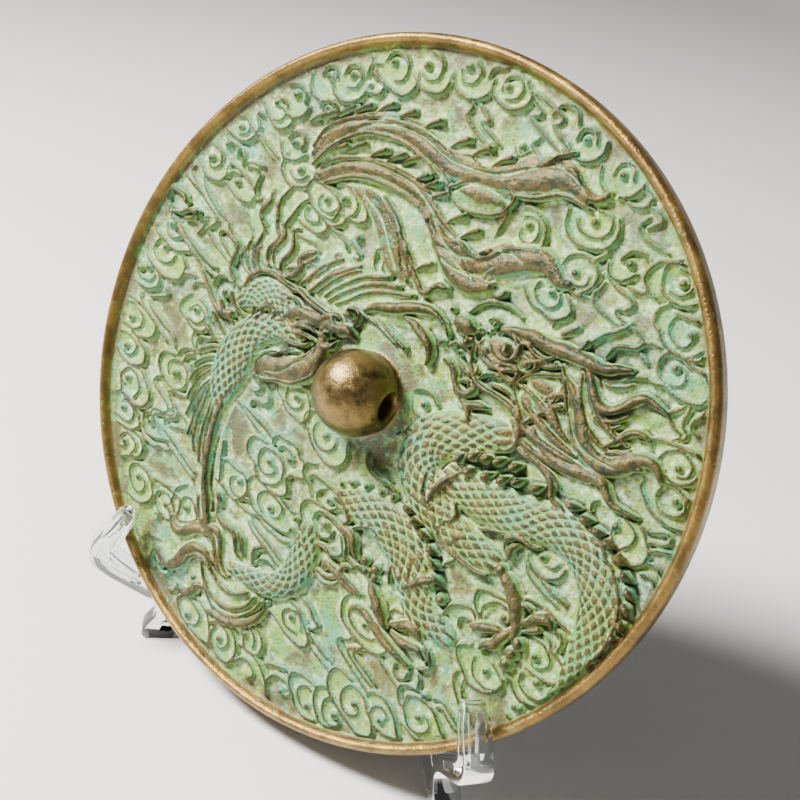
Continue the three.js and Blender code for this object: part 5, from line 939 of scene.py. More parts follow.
def bake(obj):
    """Replaces the object's mesh with the one its modifiers make."""
    old = obj.data
    graph = bpy.context.evaluated_depsgraph_get()
    graph.update()
    made = bpy.data.meshes.new_from_object(obj.evaluated_get(graph))
    obj.modifiers.clear()
    obj.data = made
    bpy.data.meshes.remove(old)


def ring_steps(coarse):
    """Radius, height, number of points and region of each ring, from the middle of the back,
    round the rim and inward to the top of the knob. Small rings have fewer points."""
    full = 1024 if coarse else 2048
    step = 0.64 if coarse else 0.32
    rings = [(r, BACK_Z, full // 8 if r > 20 else full // 32, "back")
             for r in np.arange(4, BACK_FLAT_R, 4.0)]
    rings += [(r, z, full // share, "back") for r, z, share in BACK_EDGE]
    rings += [(r, z, full, "rim") for r, z in RIM]
    r = FIELD_OUTER_R
    while r > FIELD_INNER_R:
        rings.append((r, 0.0, full // (1 if r > 50 else 2 if r > 25 else 4), "field"))
        r -= step
    rings += [(r, z, full // 4, "knob") for r, z in KNOB_FOOT]
    for angle in np.radians(np.arange(-18, 88.5, 5 if coarse else 2.4)):
        share = 4 if angle < 0.7 else 8 if angle < 1.2 else 16
        rings.append((KNOB_R * math.cos(angle), KNOB_RISE + KNOB_R * math.sin(angle),
                      full // share, "knob"))
    return rings


def join_rings(counts):
    """Triangles between neighbouring rings of points, equal or one to two, and both poles."""
    start = np.concatenate([[1], 1 + np.cumsum(counts)])
    faces = []

    def at(ring, index):
        return start[ring] + index % counts[ring]

    def add(*corners):
        faces.append(np.stack(corners, 1))

    j = np.arange(counts[0])
    add(0 * j, at(0, j + 1), at(0, j))
    for k, (a, b) in enumerate(zip(counts, counts[1:])):
        j = np.arange(min(a, b))
        if a == b:
            add(at(k, j), at(k, j + 1), at(k + 1, j))
            add(at(k, j + 1), at(k + 1, j + 1), at(k + 1, j))
        elif a > b:
            add(at(k, 2 * j), at(k, 2 * j + 1), at(k + 1, j))
            add(at(k, 2 * j + 1), at(k + 1, j + 1), at(k + 1, j))
            add(at(k, 2 * j + 1), at(k, 2 * j + 2), at(k + 1, j + 1))
        else:
            add(at(k, j), at(k + 1, 2 * j + 1), at(k + 1, 2 * j))
            add(at(k, j), at(k, j + 1), at(k + 1, 2 * j + 1))
            add(at(k, j + 1), at(k + 1, 2 * j + 2), at(k + 1, 2 * j + 1))
    last = len(counts) - 1
    j = np.arange(counts[last])
    add(at(last, j), at(last, j + 1), start[-1] + 0 * j)
    return np.concatenate(faces)


def fill_mesh(mesh, points, faces):
    """Puts whole arrays of points and triangles into a mesh."""
    mesh.vertices.add(len(points))
    mesh.vertices.foreach_set("co", np.ascontiguousarray(points, np.float32).ravel())
    mesh.loops.add(3 * len(faces))
    mesh.loops.foreach_set("vertex_index", np.ascontiguousarray(faces, np.int32).ravel())
    mesh.polygons.add(len(faces))
    mesh.polygons.foreach_set("loop_start", np.arange(0, 3 * len(faces), 3, dtype=np.int32))
    mesh.update(calc_edges=True)
    mesh.validate()


def disc_points(field, coarse):
    """Rings of points: radius and height from the profile, plus the relief on the field.
    On the knob the ball has shallow uneven dents. A ring has at most twice or half the points
    of the one before it."""
    rings = ring_steps(coarse)
    counts = [rings[0][2]]
    for _, _, n, _ in rings[1:]:
        counts.append(min(max(n, counts[-1] // 2), counts[-1] * 2))
    points = [np.array([[0, 0, BACK_Z]])]
    for (r, z, _, region), n in zip(rings, counts):
        a = 2 * math.pi * np.arange(n) / n
        x, y = r * np.cos(a), r * np.sin(a)
        lift = np.full(n, z)
        if region == "field":
            fade = (np.clip((RIM[-1][0] - r) / FADE_AT_RIM, 0, 1)
                    * np.clip((r - FADE_INNER_R) / FADE_AT_KNOB, 0, 1))
            lift = lift + fade * sample(field, x, y)
        elif region == "knob":
            dent = 0.10 * np.sin(0.55 * x + 1.3) * np.sin(0.6 * y + 0.4) * np.sin(0.5 * z + 0.7)
            grow = 1 + dent / KNOB_R
            x, y = x * grow, y * grow
        elif region == "rim":
            lift = lift + 0.05 * np.sin(7 * a + 0.6) * np.sin(11 * a)
        points.append(np.stack([x, y, lift], 1))
    points.append(np.array([[0, 0, KNOB_RISE + KNOB_R]]))
    return np.concatenate(points), join_rings(counts)


def thin_out(obj, target):
    """Merges edges where the surface is flat until about the target number of triangles is left."""
    if len(obj.data.polygons) > target:
        less = obj.modifiers.new("thin out", "DECIMATE")
        less.decimate_type = "COLLAPSE"
        less.ratio = target / len(obj.data.polygons)
        bake(obj)


def set_on_circle(v, radius):
    """Moves a point out or in to a radius round the axis of the cord hole."""
    y, z = v.co.y, v.co.z - CORD_RISE
    d = max(math.hypot(y, z), 1e-6)
    v.co.y, v.co.z = y * radius / d, CORD_RISE + z * radius / d


def in_mouth(face):
    """Whether a face of the knob lies in the mouth of the cord hole."""
    x, y, z = face.calc_center_median()
    on_knob = x * x + y * y < KNOB_REACH ** 2 and abs(x) > KNOB_R / 2 and z > 0.8
    return on_knob and math.hypot(y, z - CORD_RISE) < MOUTH_R


def pierce_knob(mesh):
    """Opens the cord hole through the knob along x: the faces in its two mouths come out, their
    edges are set on the ball at the mouth's radius, and a tube with rounded ends joins them."""
    with edited(mesh) as bm:
        bmesh.ops.delete(bm, geom=[f for f in bm.faces if in_mouth(f)], context="FACES")
        cut_edges = [e for e in bm.edges if e.is_boundary]
        ends = []
        for side in (1, -1):
            ring = [e for e in cut_edges if (e.verts[0].co.x > 0) == (side > 0)]
            for v in {v for e in ring for v in e.verts}:
                set_on_circle(v, MOUTH_R)
                rise = v.co.z - KNOB_RISE
                v.co.x = side * math.sqrt(max(KNOB_R ** 2 - v.co.y ** 2 - rise ** 2, 1))
            for inset, radius in ((0.5, CORD_R), (1.4, CORD_R - 0.15)):
                grown = bmesh.ops.extrude_edge_only(bm, edges=ring)["geom"]
                ring = [g for g in grown if isinstance(g, bmesh.types.BMEdge)]
                for v in (g for g in grown if isinstance(g, bmesh.types.BMVert)):
                    set_on_circle(v, radius)
                    v.co.x -= side * inset
            ends += [e for e in ring if e.is_boundary]
        bmesh.ops.bridge_loops(bm, edges=ends)
        bmesh.ops.triangulate(bm, faces=[f for f in bm.faces if len(f.verts) > 3])
        bmesh.ops.recalc_face_normals(bm, faces=bm.faces)


def to_frame(points):
    """Turns the disc's own mm into the shared frame: pattern turn, lean and place, in metres."""
    c, s = math.cos(PATTERN_TURN), math.sin(PATTERN_TURN)
    x = points[:, 0] * c - points[:, 1] * s
    v = points[:, 0] * s + points[:, 1] * c
    h = points[:, 2]
    cl, sl = math.cos(LEAN), math.sin(LEAN)
    return np.stack([x, DISC_Y + v * sl - h * cl, DISC_Z + v * cl + h * sl], 1) * MM


def add_value(mesh, name, values):
    """One number for each point of the mesh, read by the finish."""
    layer = mesh.attributes.new(name, "FLOAT", "POINT")
    layer.data.foreach_set("value", np.ascontiguousarray(values, np.float32))


def smooth_shade(mesh):
    """Shades the mesh as one rounded surface."""
    mesh.polygons.foreach_set("use_smooth", np.ones(len(mesh.polygons), bool))
    mesh.update()


def mark_for_patina(mesh, field, top, co):
    """Values for the finish: height of the relief, share of a shape's top, height above the wide
    and the near surroundings, and where the metal is bare, on the knob and on the back. The
    first four are 0 outside the front, which is the field between the knob and the rim."""
    x, y, z = co.T
    r = np.hypot(x, y)
    front = (z > -0.8) & (r < 96.6) & (r > 13)
    for name, values in (("lift", field), ("top", top), ("crest", field - soften(field, 8)),
                         ("edge", field - soften(field, 3))):
        add_value(mesh, name, np.where(front, sample(values, x, y), 0))
    knob = np.clip((12.7 - r) / 0.5, 0, 1) * np.clip((z - 0.5) / 0.8, 0, 1)
    rim = np.clip((r - 96.0) / 0.8, 0, 1)
    back = (z < -4.2) & (r < 97)
    add_value(mesh, "bare", np.maximum(np.maximum(knob, rim), back))
    add_value(mesh, "knob", knob)
    add_value(mesh, "back", back.astype(float))


def make_mirror(coarse):
    """The cast disc as one closed surface with values for the patina on its points."""
    field, top = make_relief()
    points, faces = disc_points(field, coarse)
    mesh = bpy.data.meshes.new("mirror")
    fill_mesh(mesh, points, faces)
    obj = place("cast_mirror", mesh)
    thin_out(obj, 60000 if coarse else 190000)
    mesh = obj.data
    mesh.name = "cast_mirror"
    pierce_knob(mesh)
    co = np.zeros(len(mesh.vertices) * 3, np.float32)
    mesh.vertices.foreach_get("co", co)
    co = co.reshape(-1, 3).astype(float)
    mark_for_patina(mesh, field, top, co)
    mesh.vertices.foreach_set("co", to_frame(co).astype(np.float32).ravel())
    smooth_shade(mesh)
    return obj


# Stand panels, mm, drawn in their own plane: s forward, z up from the seat line
SEAT_Z = 26.5
STRAP_W = 7.8                    # thickness over the flanges
WEB_T = 2.6                      # thickness between the pockets
HOOK = (3.4, 17.2, 4, 19.4, 5.6, 20.1, 7.6, 19, 10.6, 15, 14, 10.8, 16.5, 7, 16.9, 4.6, 15.6, 1.2,
        12, -2, 7, -5.4, 2, -8.6, -2, -11.6, -4, -14.6, -3.6, -18, -1, -21.4, 0.7, -24, 0.2, -25.9)
ARCH = (-10.6, -26.1, -13, -24.6, -20, -19.6, -30, -16.2, -46, -14.6, -62, -15.2, -78, -18,
        -90, -22, -95.4, -25.6)
SPINE = (-109.3, -24.6, -109, -21, -104, -11, -96, 3, -86, 21, -76, 41, -67, 60, -61, 73, -58, 77.3,
         -55, 77.5)
CRADLE = (-6.2, -8, -4.6, -8.2, 2.6, -1.6, 9, 4.2, 9.2, 6, 6.4, 11.6)
POCKET_FRONT = (-6.6, -12.8, -7.2, -17.6, -4.8, -23.2)
POCKET_ARCH = (-13.4, -21.4, -21.6, -16.6, -31, -13.6, -46, -12.2, -62, -12.8, -78, -15.6,
               -90, -19.6, -97.6, -23.6)
POCKET_SPINE = (-101.8, -9.6, -93.8, 4, -83.8, 22, -73.8, 42, -64.6, 61.4, -58.8, 74)
POCKET_HOOK = (6.6, 17.0, 9.2, 13.6, 12.6, 9.6, 14.7, 6.2, 14.5, 4, 13, 1.6, 10, -1, 5.6, -4, 2.4, -6,
               0.8, -4.8, 3.6, -2.6, 8, 1.2, 10.7, 3.8, 10.8, 6.4, 8.2, 12, 5.8, 16.2)
POCKET_FOOT_Z = -23.6
BACK_REST_SLOPE = 0.544          # the back rest runs back by this much for each mm up
HOOK_NARROW_Z = 13               # the hook narrows from here to its tip
HOOK_NARROW_RISE = 7.3

# Place of the panels: two planes that cross behind the disc, each 48 degrees from straight ahead
PANEL_X = 59.28                  # mm, seat of a panel to the side of the origin
PANEL_Y = -30.9                  # mm, seat of a panel in front of the origin
TURN_SIN = 0.7431
TURN_COS = 0.6691
CROSSING = math.radians(96)      # between the two planes

# Cross lap: a slot from above in the left panel and one from below in the right
LAP_MIDDLE = -79.8               # where the planes cross, along s
LAP_HALF = (STRAP_W / 2 + 0.3) / math.sin(CROSSING) + 0.4
LAP_ABOVE = (4.0, 90.0)
LAP_BELOW = (-60.0, 4.3)


def panel_line():
    """Outline of a panel: smooth hook, arch and spine joined by straight feet and back rest."""
    rest = [(-10.4 - BACK_REST_SLOPE * z, z) for z in (73, 50, 27, 4)]
    return np.vstack([curve(HOOK), [(-1.6, -SEAT_Z), (-9.4, -SEAT_Z)], curve(ARCH),
                      [(-97.4, -SEAT_Z), (-107, -SEAT_Z)], curve(SPINE), rest, curve(CRADLE)])


def pocket_line():
    """Outline of the sunk pocket on each face of a panel."""
    rest = [(-13.3 - BACK_REST_SLOPE * z, z) for z in (70, 48, 26, 4)]
    return np.vstack([curve(POCKET_FRONT), [(-8, POCKET_FOOT_Z)], curve(POCKET_ARCH),
                      [(-105.6, POCKET_FOOT_Z)], curve(POCKET_SPINE), rest, [(-9.6, -6.6)]])


def slab(name, line, low, high):
    """A flat closed solid: the outline at two depths, two caps and a wall."""
    n = len(line)
    points = [(s, z, depth) for depth in (low, high) for s, z in line]
    walls = [(i, (i + 1) % n, n + (i + 1) % n, n + i) for i in range(n)]
    mesh = bpy.data.meshes.new(name)
    mesh.from_pydata(points, [], [tuple(range(n)), tuple(range(2 * n - 1, n - 1, -1))] + walls)
    with edited(mesh) as bm:
        bmesh.ops.recalc_face_normals(bm, faces=bm.faces)
    return place(name, mesh)


def cut_away(obj, cutters):
    """Takes the cutters out of the solid and removes them."""
    for cutter in cutters:
        less = obj.modifiers.new("cut", "BOOLEAN")
        less.operation = "DIFFERENCE"
        less.solver = "EXACT"
        less.object = cutter
    bake(obj)
    for cutter in cutters:
        bpy.data.objects.remove(cutter)


def round_edges(obj, edge_mm):
    """Rounds the sharp edges of a panel."""
    soft = obj.modifiers.new("soft edges", "BEVEL")
    soft.width = edge_mm
    soft.segments = 3
    soft.limit_method = "ANGLE"
    soft.angle_limit = math.radians(38)
    soft.miter_outer = "MITER_ARC"
    bake(obj)


def stand_up(side, point):
    """From the panel's own s, z and depth to the shared frame. The hook narrows to its tip as
    sqrt(1 - ((z-13)/7.3)^2)."""
    s, z, w = point
    if s > 2 and z > HOOK_NARROW_Z:
        share = (z - HOOK_NARROW_Z) / HOOK_NARROW_RISE
        w *= 0.55 + 0.45 * math.sqrt(max(0, 1 - share ** 2))
    x = PANEL_X + TURN_SIN * s
    y = PANEL_Y - TURN_COS * s
    return Vector((side * x - TURN_COS * w, y - side * TURN_SIN * w, max(z + SEAT_Z, 0))) * MM


def make_panel(side, edge_mm):
    """One clear panel with its pockets, its half of the cross lap and softened edges.
    side is -1 for the left one and 1 for the right one."""
    name = "clear_panel_left" if side < 0 else "clear_panel_right"
    obj = slab(name, panel_line(), -STRAP_W / 2 + 0.01, STRAP_W / 2 - 0.01)
    low, high = LAP_ABOVE if side < 0 else LAP_BELOW
    left, right = LAP_MIDDLE - LAP_HALF, LAP_MIDDLE + LAP_HALF
    cutters = []
    for label, line in (("pocket", pocket_line()), ("hook", np.reshape(POCKET_HOOK, (-1, 2)))):
        cutters.append(slab(label + "_a", line, WEB_T / 2, 20))
        cutters.append(slab(label + "_b", line, -20, -WEB_T / 2))
    lap = [(left, low), (right, low), (right, high), (left, high)]
    cut_away(obj, cutters + [slab("lap", lap, -30, 30)])
    with edited(obj.data) as bm:
        bmesh.ops.remove_doubles(bm, verts=bm.verts, dist=0.02)
        bmesh.ops.dissolve_limit(bm, angle_limit=math.radians(0.5), verts=bm.verts, edges=bm.edges)
    round_edges(obj, edge_mm)
    with edited(obj.data) as bm:
        bmesh.ops.triangulate(bm, faces=bm.faces)
        bmesh.ops.remove_doubles(bm, verts=bm.verts, dist=0.004)
        for v in bm.verts:
            v.co = stand_up(side, v.co)
        bmesh.ops.recalc_face_normals(bm, faces=bm.faces)
    obj.data.name = name
    smooth_shade(obj.data)
    obj.data.set_sharp_from_angle(angle=math.radians(24))
    return obj


# Finishes

class Nodes:
    """Short names for the nodes of one material."""

    def __init__(self, name):
        self.material = bpy.data.materials.new(name)
        self.material.use_nodes = True
        self.tree = self.material.node_tree
        self.tree.nodes.clear()
        out = self.tree.nodes.new("ShaderNodeOutputMaterial")
        self.shader = self.tree.nodes.new("ShaderNodeBsdfPrincipled")
        self.tree.links.new(self.shader.outputs["BSDF"], out.inputs["Surface"])
        self.place = self.tree.nodes.new("ShaderNodeTexCoord").outputs["Object"]

    def put(self, socket, value):
        """Links a socket to another one, or gives it a number or a colour."""
        if isinstance(value, bpy.types.NodeSocket):
            self.tree.links.new(value, socket)
        elif isinstance(value, (tuple, Color)):
            socket.default_value = (*value, 1)
        else:
            socket.default_value = value

    def set(self, name, value):
        """Feeds an input of the shader."""
        self.put(self.shader.inputs[name], value)

    def math(self, what, a, b, clamp=False):
        """A sum of two values, by Blender's name for it."""
        node = self.tree.nodes.new("ShaderNodeMath")
        node.operation = what
        node.use_clamp = clamp
        self.put(node.inputs[0], a)
        self.put(node.inputs[1], b)
        return node.outputs[0]

    def add(self, a, b):
        return self.math("ADD", a, b)

    def less(self, a, b):
        return self.math("SUBTRACT", a, b)

    def times(self, a, b):
        return self.math("MULTIPLY", a, b)

    def value(self, name):
        """A number kept on the points of the mesh."""
        node = self.tree.nodes.new("ShaderNodeAttribute")
        node.attribute_name = name
        return node.outputs["Fac"]

    def noise(self, size_mm, detail=4.0, rough=0.55, warp=0.0):
        """Cloudy noise whose larger spots are about size_mm across."""
        node = self.tree.nodes.new("ShaderNodeTexNoise")
        self.put(node.inputs["Vector"], self.place)
        node.inputs["Scale"].default_value = 1 / (size_mm * MM)
        node.inputs["Detail"].default_value = detail
        node.inputs["Roughness"].default_value = rough
        node.inputs["Distortion"].default_value = warp
        return node.outputs["Fac"]

    def step(self, value, low, high, to_low=0.0, to_high=1.0):
        """Smooth rise from to_low to to_high while the value goes from low to high."""
        node = self.tree.nodes.new("ShaderNodeMapRange")
        node.interpolation_type = "SMOOTHSTEP"
        self.put(node.inputs["Value"], value)
        for name, v in (("From Min", low), ("From Max", high), ("To Min", to_low), ("To Max", to_high)):
            node.inputs[name].default_value = v
        return node.outputs["Result"]

    def blend(self, share, a, b):
        """Colour a where share is 0 and b where it is 1."""
        node = self.tree.nodes.new("ShaderNodeMix")
        node.data_type = "RGBA"
        self.put(node.inputs["Factor"], share)
        self.put(node.inputs["A"], a)
        self.put(node.inputs["B"], b)
        return node.outputs["Result"]

    def bump(self, height, depth_mm):
        """A skin whose height rises and falls by up to depth_mm."""
        node = self.tree.nodes.new("ShaderNodeBump")
        node.inputs["Strength"].default_value = 1.0
        node.inputs["Distance"].default_value = depth_mm * MM
        self.put(node.inputs["Height"], height)
        return node.outputs["Normal"]


class Spots:
    """The noises that several layers of the patina share, and their swing round zero."""

    def __init__(self, n):
        self.mid = n.noise(9, 5, 0.6, 0.4)
        self.small = n.noise(2.4, 5, 0.62)
        self.grain = n.noise(0.7, 4, 0.6)
        self.mid_swing = n.less(self.mid, 0.5)
        self.small_swing = n.less(self.small, 0.5)


def verdigris(n, props, spots, crest, lift):
    """Pale and blue green in broad areas, yellow green in the hollows, chalk along the foot of
    the ridges, and brown stains on the open ground."""
    green = n.blend(n.step(n.noise(26, 3, 0.5, 0.6), 0.42, 0.60), props.pale_green, props.blue_green)
    hollow = n.times(n.step(crest, 0.2, -0.35), n.step(spots.mid, 0.34, 0.54))
    green = n.blend(n.times(hollow, 0.8), green, props.yellow_green)
    foot = n.add(n.noise(1.4, 4, 0.6), n.step(crest, -0.08, -0.4, -0.16, 0.05))
    green = n.blend(n.step(foot, 0.47, 0.60, 0, 0.52), green, props.chalk)
    open_ground = n.step(n.less(lift, crest), 0.75, 0.15)
    stain = n.add(n.noise(12, 5, 0.62, 0.5), n.times(spots.small_swing, 0.55))
    return n.blend(n.times(n.step(stain, 0.40, 0.54, 0, 0.85), open_ground), green, props.stain)


def rubbed_share(n, props, spots, lift):
    """How far the green is rubbed off: most on the top of each shape and on the tall ones."""
    worn = n.add(n.value("top"), n.times(spots.small_swing, 0.9))
    worn = n.add(worn, n.times(spots.mid_swing, 0.9))
    worn = n.add(worn, n.step(lift, 0.9, 2.6, 0.0, 0.30))
    return n.step(worn, 1.05 - 0.7 * props.wear, 1.35 - 0.7 * props.wear, 0, 0.92)


def bare_bronze(n, props, spots, knob):
    """Bronze without verdigris: the rim with a little green, the knob and the tarnished back."""
    rim = n.blend(n.step(spots.mid, 0.36, 0.64), props.rim_dark, props.rim)
    rim = n.blend(n.step(spots.small, 0.58, 0.70, 0, 0.5), rim, props.pale_green)
    rubbed = n.step(n.add(spots.mid, n.times(spots.small_swing, 0.4)), 0.30, 0.66)
    gold = n.blend(knob, rim, n.blend(rubbed, props.knob_dark, props.knob_light))
    tarnish = n.step(n.add(n.noise(34, 6, 0.62), n.times(spots.small_swing, 0.5)), 0.40, 0.66)
    return n.blend(n.value("back"), gold, n.blend(tarnish, props.back_dark, props.back_green))


def patina_finish(props):
    """Verdigris over brown bronze. Green lies on the ground and slopes, brown bronze shows where the
    tops are rubbed, and painted shade darkens the recesses at the foot of the relief."""
    n = Nodes("bronze_patina")
    crest = n.value("crest")
    lift = n.value("lift")
    bare = n.value("bare")
    knob = n.value("knob")
    spots = Spots(n)
    brown = n.blend(n.step(spots.small, 0.38, 0.62), props.dark_brown, props.brown)
    worn = rubbed_share(n, props, spots, lift)
    colour = n.blend(worn, verdigris(n, props, spots, crest, lift), brown)
    # Painted shade: the dark colour is laid where the surface lies below its near surroundings, at the
    # foot of the ridges, where shadow and occlusion fall.
    painted_shade = n.less(n.times(n.value("edge"), -1.0), n.times(spots.small_swing, 0.5))
    painted_shade = n.step(painted_shade, 0.22, 0.55, 0, 0.9)
    colour = n.blend(painted_shade, colour, props.shade_and_pit_dark)
    # Fine dark specks of pitting, strewn at random over the patina in the same dark colour.
    colour = n.blend(n.step(spots.grain, 0.55, 0.64, 0, 0.66), colour, props.shade_and_pit_dark)
    n.set("Base Color", n.blend(bare, colour, bare_bronze(n, props, spots, knob)))
    metal = n.times(worn, n.step(painted_shade, 0.0, 0.6, 0.6, 0))
    bare_metal = n.times(bare, n.step(spots.small, 0.55, 0.72, 0.8, 0.4))
    n.set("Metallic", n.math("MAXIMUM", metal, bare_metal))
    rough = n.less(n.less(0.54, n.times(worn, 0.22)), n.times(bare, 0.22))
    n.set("Roughness", n.math("ADD", rough, n.times(spots.small_swing, 0.35), clamp=True))
    fine = n.add(n.times(spots.grain, 0.7), n.times(spots.small, 0.6))
    keep = n.less(n.less(1.0, n.times(bare, 0.3)), n.times(knob, 0.3))
    n.set("Normal", n.bump(n.times(fine, keep), props.grain_mm))
    return n.material


def clear_finish(props):
    """See-through plastic."""
    n = Nodes("clear_plastic")
    n.set("Base Color", props.tint)
    n.set("Transmission Weight", 1.0)
    n.set("IOR", 1.49)
    n.set("Roughness", props.haze)
    return n.material


def plain_finish(name, colour, rough):
    """One even colour."""
    n = Nodes(name)
    n.set("Base Color", colour)
    n.set("Roughness", rough)
    return n.material


# Stage

FLOOR_HALF = 6.0                 # m, the floor's half width and how far it runs to the front
FLOOR_BACK = 1.6                 # m, where it starts to rise
FLOOR_BEND = 1.2                 # m, radius of the bend
FLOOR_TOP = 5.0                  # m
LIT_SPOT = (0, 0, 0.1)           # m, what the lights face, near the middle of the disc

CAMERA_SPOT = (0.167185, -0.254260, 0.252546)
CAMERA_TURN = math.radians(-57.897)      # way it stands off, round the upright axis from x
CAMERA_RISE = math.radians(26.9543)      # and above level
CAMERA_ROLL = math.radians(7.209)
CAMERA_LENS = 54
SENSOR_WIDTH = 36


def make_floor(colour):
    """Floor that rises behind the object: flat, then a quarter circle, then upright."""
    arc = np.radians(np.linspace(0, 90, 25))
    y = np.concatenate([[-FLOOR_HALF], FLOOR_BACK + FLOOR_BEND * np.sin(arc), [FLOOR_BACK + FLOOR_BEND]])
    z = np.concatenate([[0.0], FLOOR_BEND - FLOOR_BEND * np.cos(arc), [FLOOR_TOP]])
    n = len(y)
    points = [(x, y[i], z[i]) for x in (-FLOOR_HALF, FLOOR_HALF) for i in range(n)]
    faces = [(i, n + i, n + i + 1, i + 1) for i in range(n - 1)]
    mesh = bpy.data.meshes.new("floor")
    mesh.from_pydata(points, [], faces)
    smooth_shade(mesh)
    mesh.materials.append(plain_finish("pale_floor", colour, 0.6))
    return place("floor", mesh)


def make_light(name, way, distance, size, power, colour):
    """Soft square light that stands in one direction from the disc and faces it."""
    data = bpy.data.lights.new(name, "AREA")
    data.shape = "SQUARE"
    data.size = size
    data.energy = power
    data.color = colour
    obj = place(name, data)
    spot = Vector(way).normalized()
    obj.location = spot * distance + Vector(LIT_SPOT)
    obj.rotation_euler = spot.to_track_quat("Z", "Y").to_euler()
    return obj


def make_camera():
    """Camera in front of the disc, to the right and above, rolled a little as in the photo."""
    data = bpy.data.cameras.new("camera")
    data.lens = CAMERA_LENS
    data.sensor_width = SENSOR_WIDTH
    data.clip_start = 0.01
    data.clip_end = 50
    obj = place("camera", data)
    upright = math.radians(90)
    obj.matrix_world = (Matrix.Translation(CAMERA_SPOT)
                        @ Matrix.Rotation(CAMERA_TURN + upright, 4, "Z")
                        @ Matrix.Rotation(upright - CAMERA_RISE, 4, "X")
                        @ Matrix.Rotation(CAMERA_ROLL, 4, "Z"))
    bpy.context.scene.camera = obj
    return obj


# Settings, buttons and panel

def colour_setting(name, about, value):
    """A colour that the user can change, given as a screen colour from 0 to 255."""
    return bpy.props.FloatVectorProperty(name=name, description=about, default=linear(*value), min=0,
                                         max=1, size=3, subtype="COLOR")


class MirrorSettings(bpy.types.PropertyGroup):
    """Finish of the cast disc."""
    fine: bpy.props.BoolProperty(name="Full detail", description="Keep the finest relief", default=True)
    wear: bpy.props.FloatProperty(name="Wear", description="How much brown bronze shows on high parts",
                                  default=0.6, min=0, max=1, subtype="FACTOR")
    grain_mm: bpy.props.FloatProperty(name="Grain depth", description="Depth of the pitted skin in mm",
                                      default=0.5, min=0, max=1)
    pale_green: colour_setting("Pale verdigris", "Main colour of the ground", (90, 144, 74))
    blue_green: colour_setting("Blue verdigris", "Colour of the bluer areas", (72, 146, 106))
    yellow_green: colour_setting("Yellow verdigris", "Colour of the hollows", (138, 156, 34))
    chalk: colour_setting("Chalky verdigris", "Lightest specks", (204, 230, 190))
    brown: colour_setting("Worn bronze", "Bronze that shows on high parts", (98, 76, 40))
    dark_brown: colour_setting("Dark bronze", "Darker tarnished bronze", (46, 36, 22))
    stain: colour_setting("Stains", "Brown patches on the open ground", (76, 60, 36))
    # Dark colour of the painted shade in the hollows at the foot of the relief, also used for the fine
    # pitting specks.
    shade_and_pit_dark: colour_setting("Recesses", "Dirt in the hollows", (20, 22, 12))
    rim: colour_setting("Rim", "Bronze of the rim", (146, 116, 58))
    rim_dark: colour_setting("Rim shade", "Darker areas of the rim", (104, 82, 44))
    knob_light: colour_setting("Knob light", "Rubbed bronze of the knob", (124, 102, 56))
    knob_dark: colour_setting("Knob dark", "Tarnished bronze of the knob", (58, 48, 28))
    back_dark: colour_setting("Back bronze", "Tarnished reflecting face", (84, 72, 48))
    back_green: colour_setting("Back verdigris", "Green areas of the reflecting face", (94, 98, 68))


class StandSettings(bpy.types.PropertyGroup):
    """Clear panels of the stand."""
    edge_mm: bpy.props.FloatProperty(name="Edge rounding", description="Rounding of the edges in mm",
                                     default=0.5, min=0.05, max=1)
    tint: colour_setting("Tint", "Colour of the clear plastic", (232, 238, 238))
    haze: bpy.props.FloatProperty(name="Haze", description="Roughness of the clear plastic",
                                  default=0.03, min=0, max=1, subtype="FACTOR")


class StageSettings(bpy.types.PropertyGroup):
    """Floor and light."""
    floor: colour_setting("Floor", "Colour of the floor", (222, 220, 216))
    key: bpy.props.FloatProperty(name="Key light", description="Power of the main light",
                                 default=86, min=0, unit="POWER")
    fill: bpy.props.FloatProperty(name="Fill light", description="Power of the side light",
                                  default=3, min=0, unit="POWER")
    sky: bpy.props.FloatProperty(name="Sky", description="Strength of the even light",
                                 default=0.12, min=0)


def check_closed(obj):
    """Stops the build unless exactly two faces meet at every edge."""
    index = np.zeros(len(obj.data.loops), np.int32)
    obj.data.loops.foreach_get("edge_index", index)
    faces_at_edge = np.bincount(index, minlength=len(obj.data.edges))
    if not obj.data.polygons or (faces_at_edge != 2).any():
        raise RuntimeError(f"{obj.name} is not closed")


def finished(obj, node, material):
    """Gives a piece its finish and its place in the frame."""
    check_closed(obj)
    obj.data.materials.clear()
    obj.data.materials.append(material)
    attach(obj, "root")
    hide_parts(node)


class MIRROR_OT_disc(bpy.types.Operator):
    """Build the cast bronze disc"""
    bl_idname = "mirror.disc"
    bl_label = "Bronze disc"

    def execute(self, context):
        props = context.scene.mirror_disc
        finished(make_mirror(not props.fine), "mirror", patina_finish(props))
        return {"FINISHED"}


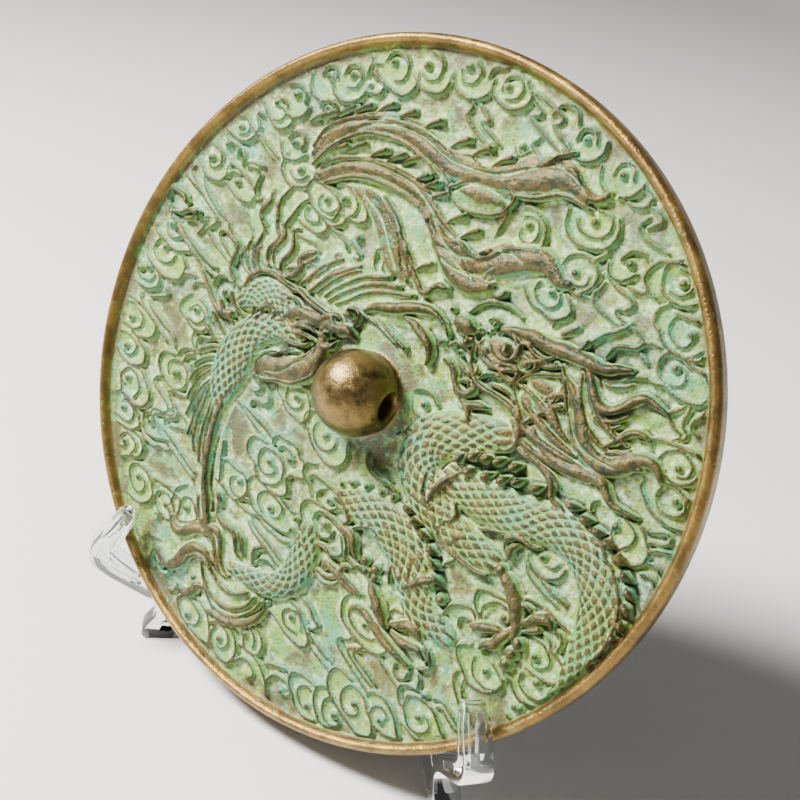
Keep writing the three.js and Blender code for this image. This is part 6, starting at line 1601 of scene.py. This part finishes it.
class MIRROR_OT_stand(bpy.types.Operator):
    """Build the two clear panels of the stand"""
    bl_idname = "mirror.stand"
    bl_label = "Clear stand"

    def execute(self, context):
        props = context.scene.mirror_stand
        material = clear_finish(props)
        for side, node in ((-1, "stand_panel_left"), (1, "stand_panel_right")):
            finished(make_panel(side, props.edge_mm), node, material)
        return {"FINISHED"}


class MIRROR_OT_stage(bpy.types.Operator):
    """Build the floor, the lights and the camera"""
    bl_idname = "mirror.stage"
    bl_label = "Stage"

    def execute(self, context):
        props = context.scene.mirror_stage
        make_floor(tuple(props.floor))
        make_light("key_light", (-0.573, -0.396, 0.821), 1.3, 0.34, props.key, (1, 0.98, 0.95))
        make_light("fill_light", (0.9, -0.6, 0.5), 1.6, 1.2, props.fill, (0.95, 0.97, 1))
        make_camera()
        world = bpy.data.worlds.new("even_light")
        world.use_nodes = True
        background = world.node_tree.nodes["Background"]
        background.inputs["Color"].default_value = (0.93, 0.96, 1, 1)
        background.inputs["Strength"].default_value = props.sky
        context.scene.world = world
        return {"FINISHED"}


class MIRROR_PT_build(bpy.types.Panel):
    """Pieces of the mirror and their settings"""
    bl_label = "Mirror on a stand"
    bl_space_type = "VIEW_3D"
    bl_region_type = "UI"
    bl_category = "Mirror"

    def draw(self, context):
        for kind, group in ((MIRROR_OT_disc, "mirror_disc"), (MIRROR_OT_stand, "mirror_stand"),
                            (MIRROR_OT_stage, "mirror_stage")):
            box = self.layout.box()
            props = getattr(context.scene, group)
            for name in props.__annotations__:
                box.prop(props, name)
            box.operator(kind.bl_idname)


CLASSES = (MirrorSettings, StandSettings, StageSettings, MIRROR_OT_disc, MIRROR_OT_stand,
           MIRROR_OT_stage, MIRROR_PT_build)


def register():
    for kind in CLASSES:
        bpy.utils.register_class(kind)
    bpy.types.Scene.mirror_disc = bpy.props.PointerProperty(type=MirrorSettings)
    bpy.types.Scene.mirror_stand = bpy.props.PointerProperty(type=StandSettings)
    bpy.types.Scene.mirror_stage = bpy.props.PointerProperty(type=StageSettings)


def unregister():
    for name in ("mirror_disc", "mirror_stand", "mirror_stage"):
        delattr(bpy.types.Scene, name)
    for kind in reversed(CLASSES):
        bpy.utils.unregister_class(kind)


def main():
    register()
    bpy.ops.mirror.disc()
    bpy.ops.mirror.stand()
    bpy.ops.mirror.stage()


if __name__ == "__main__":
    main()
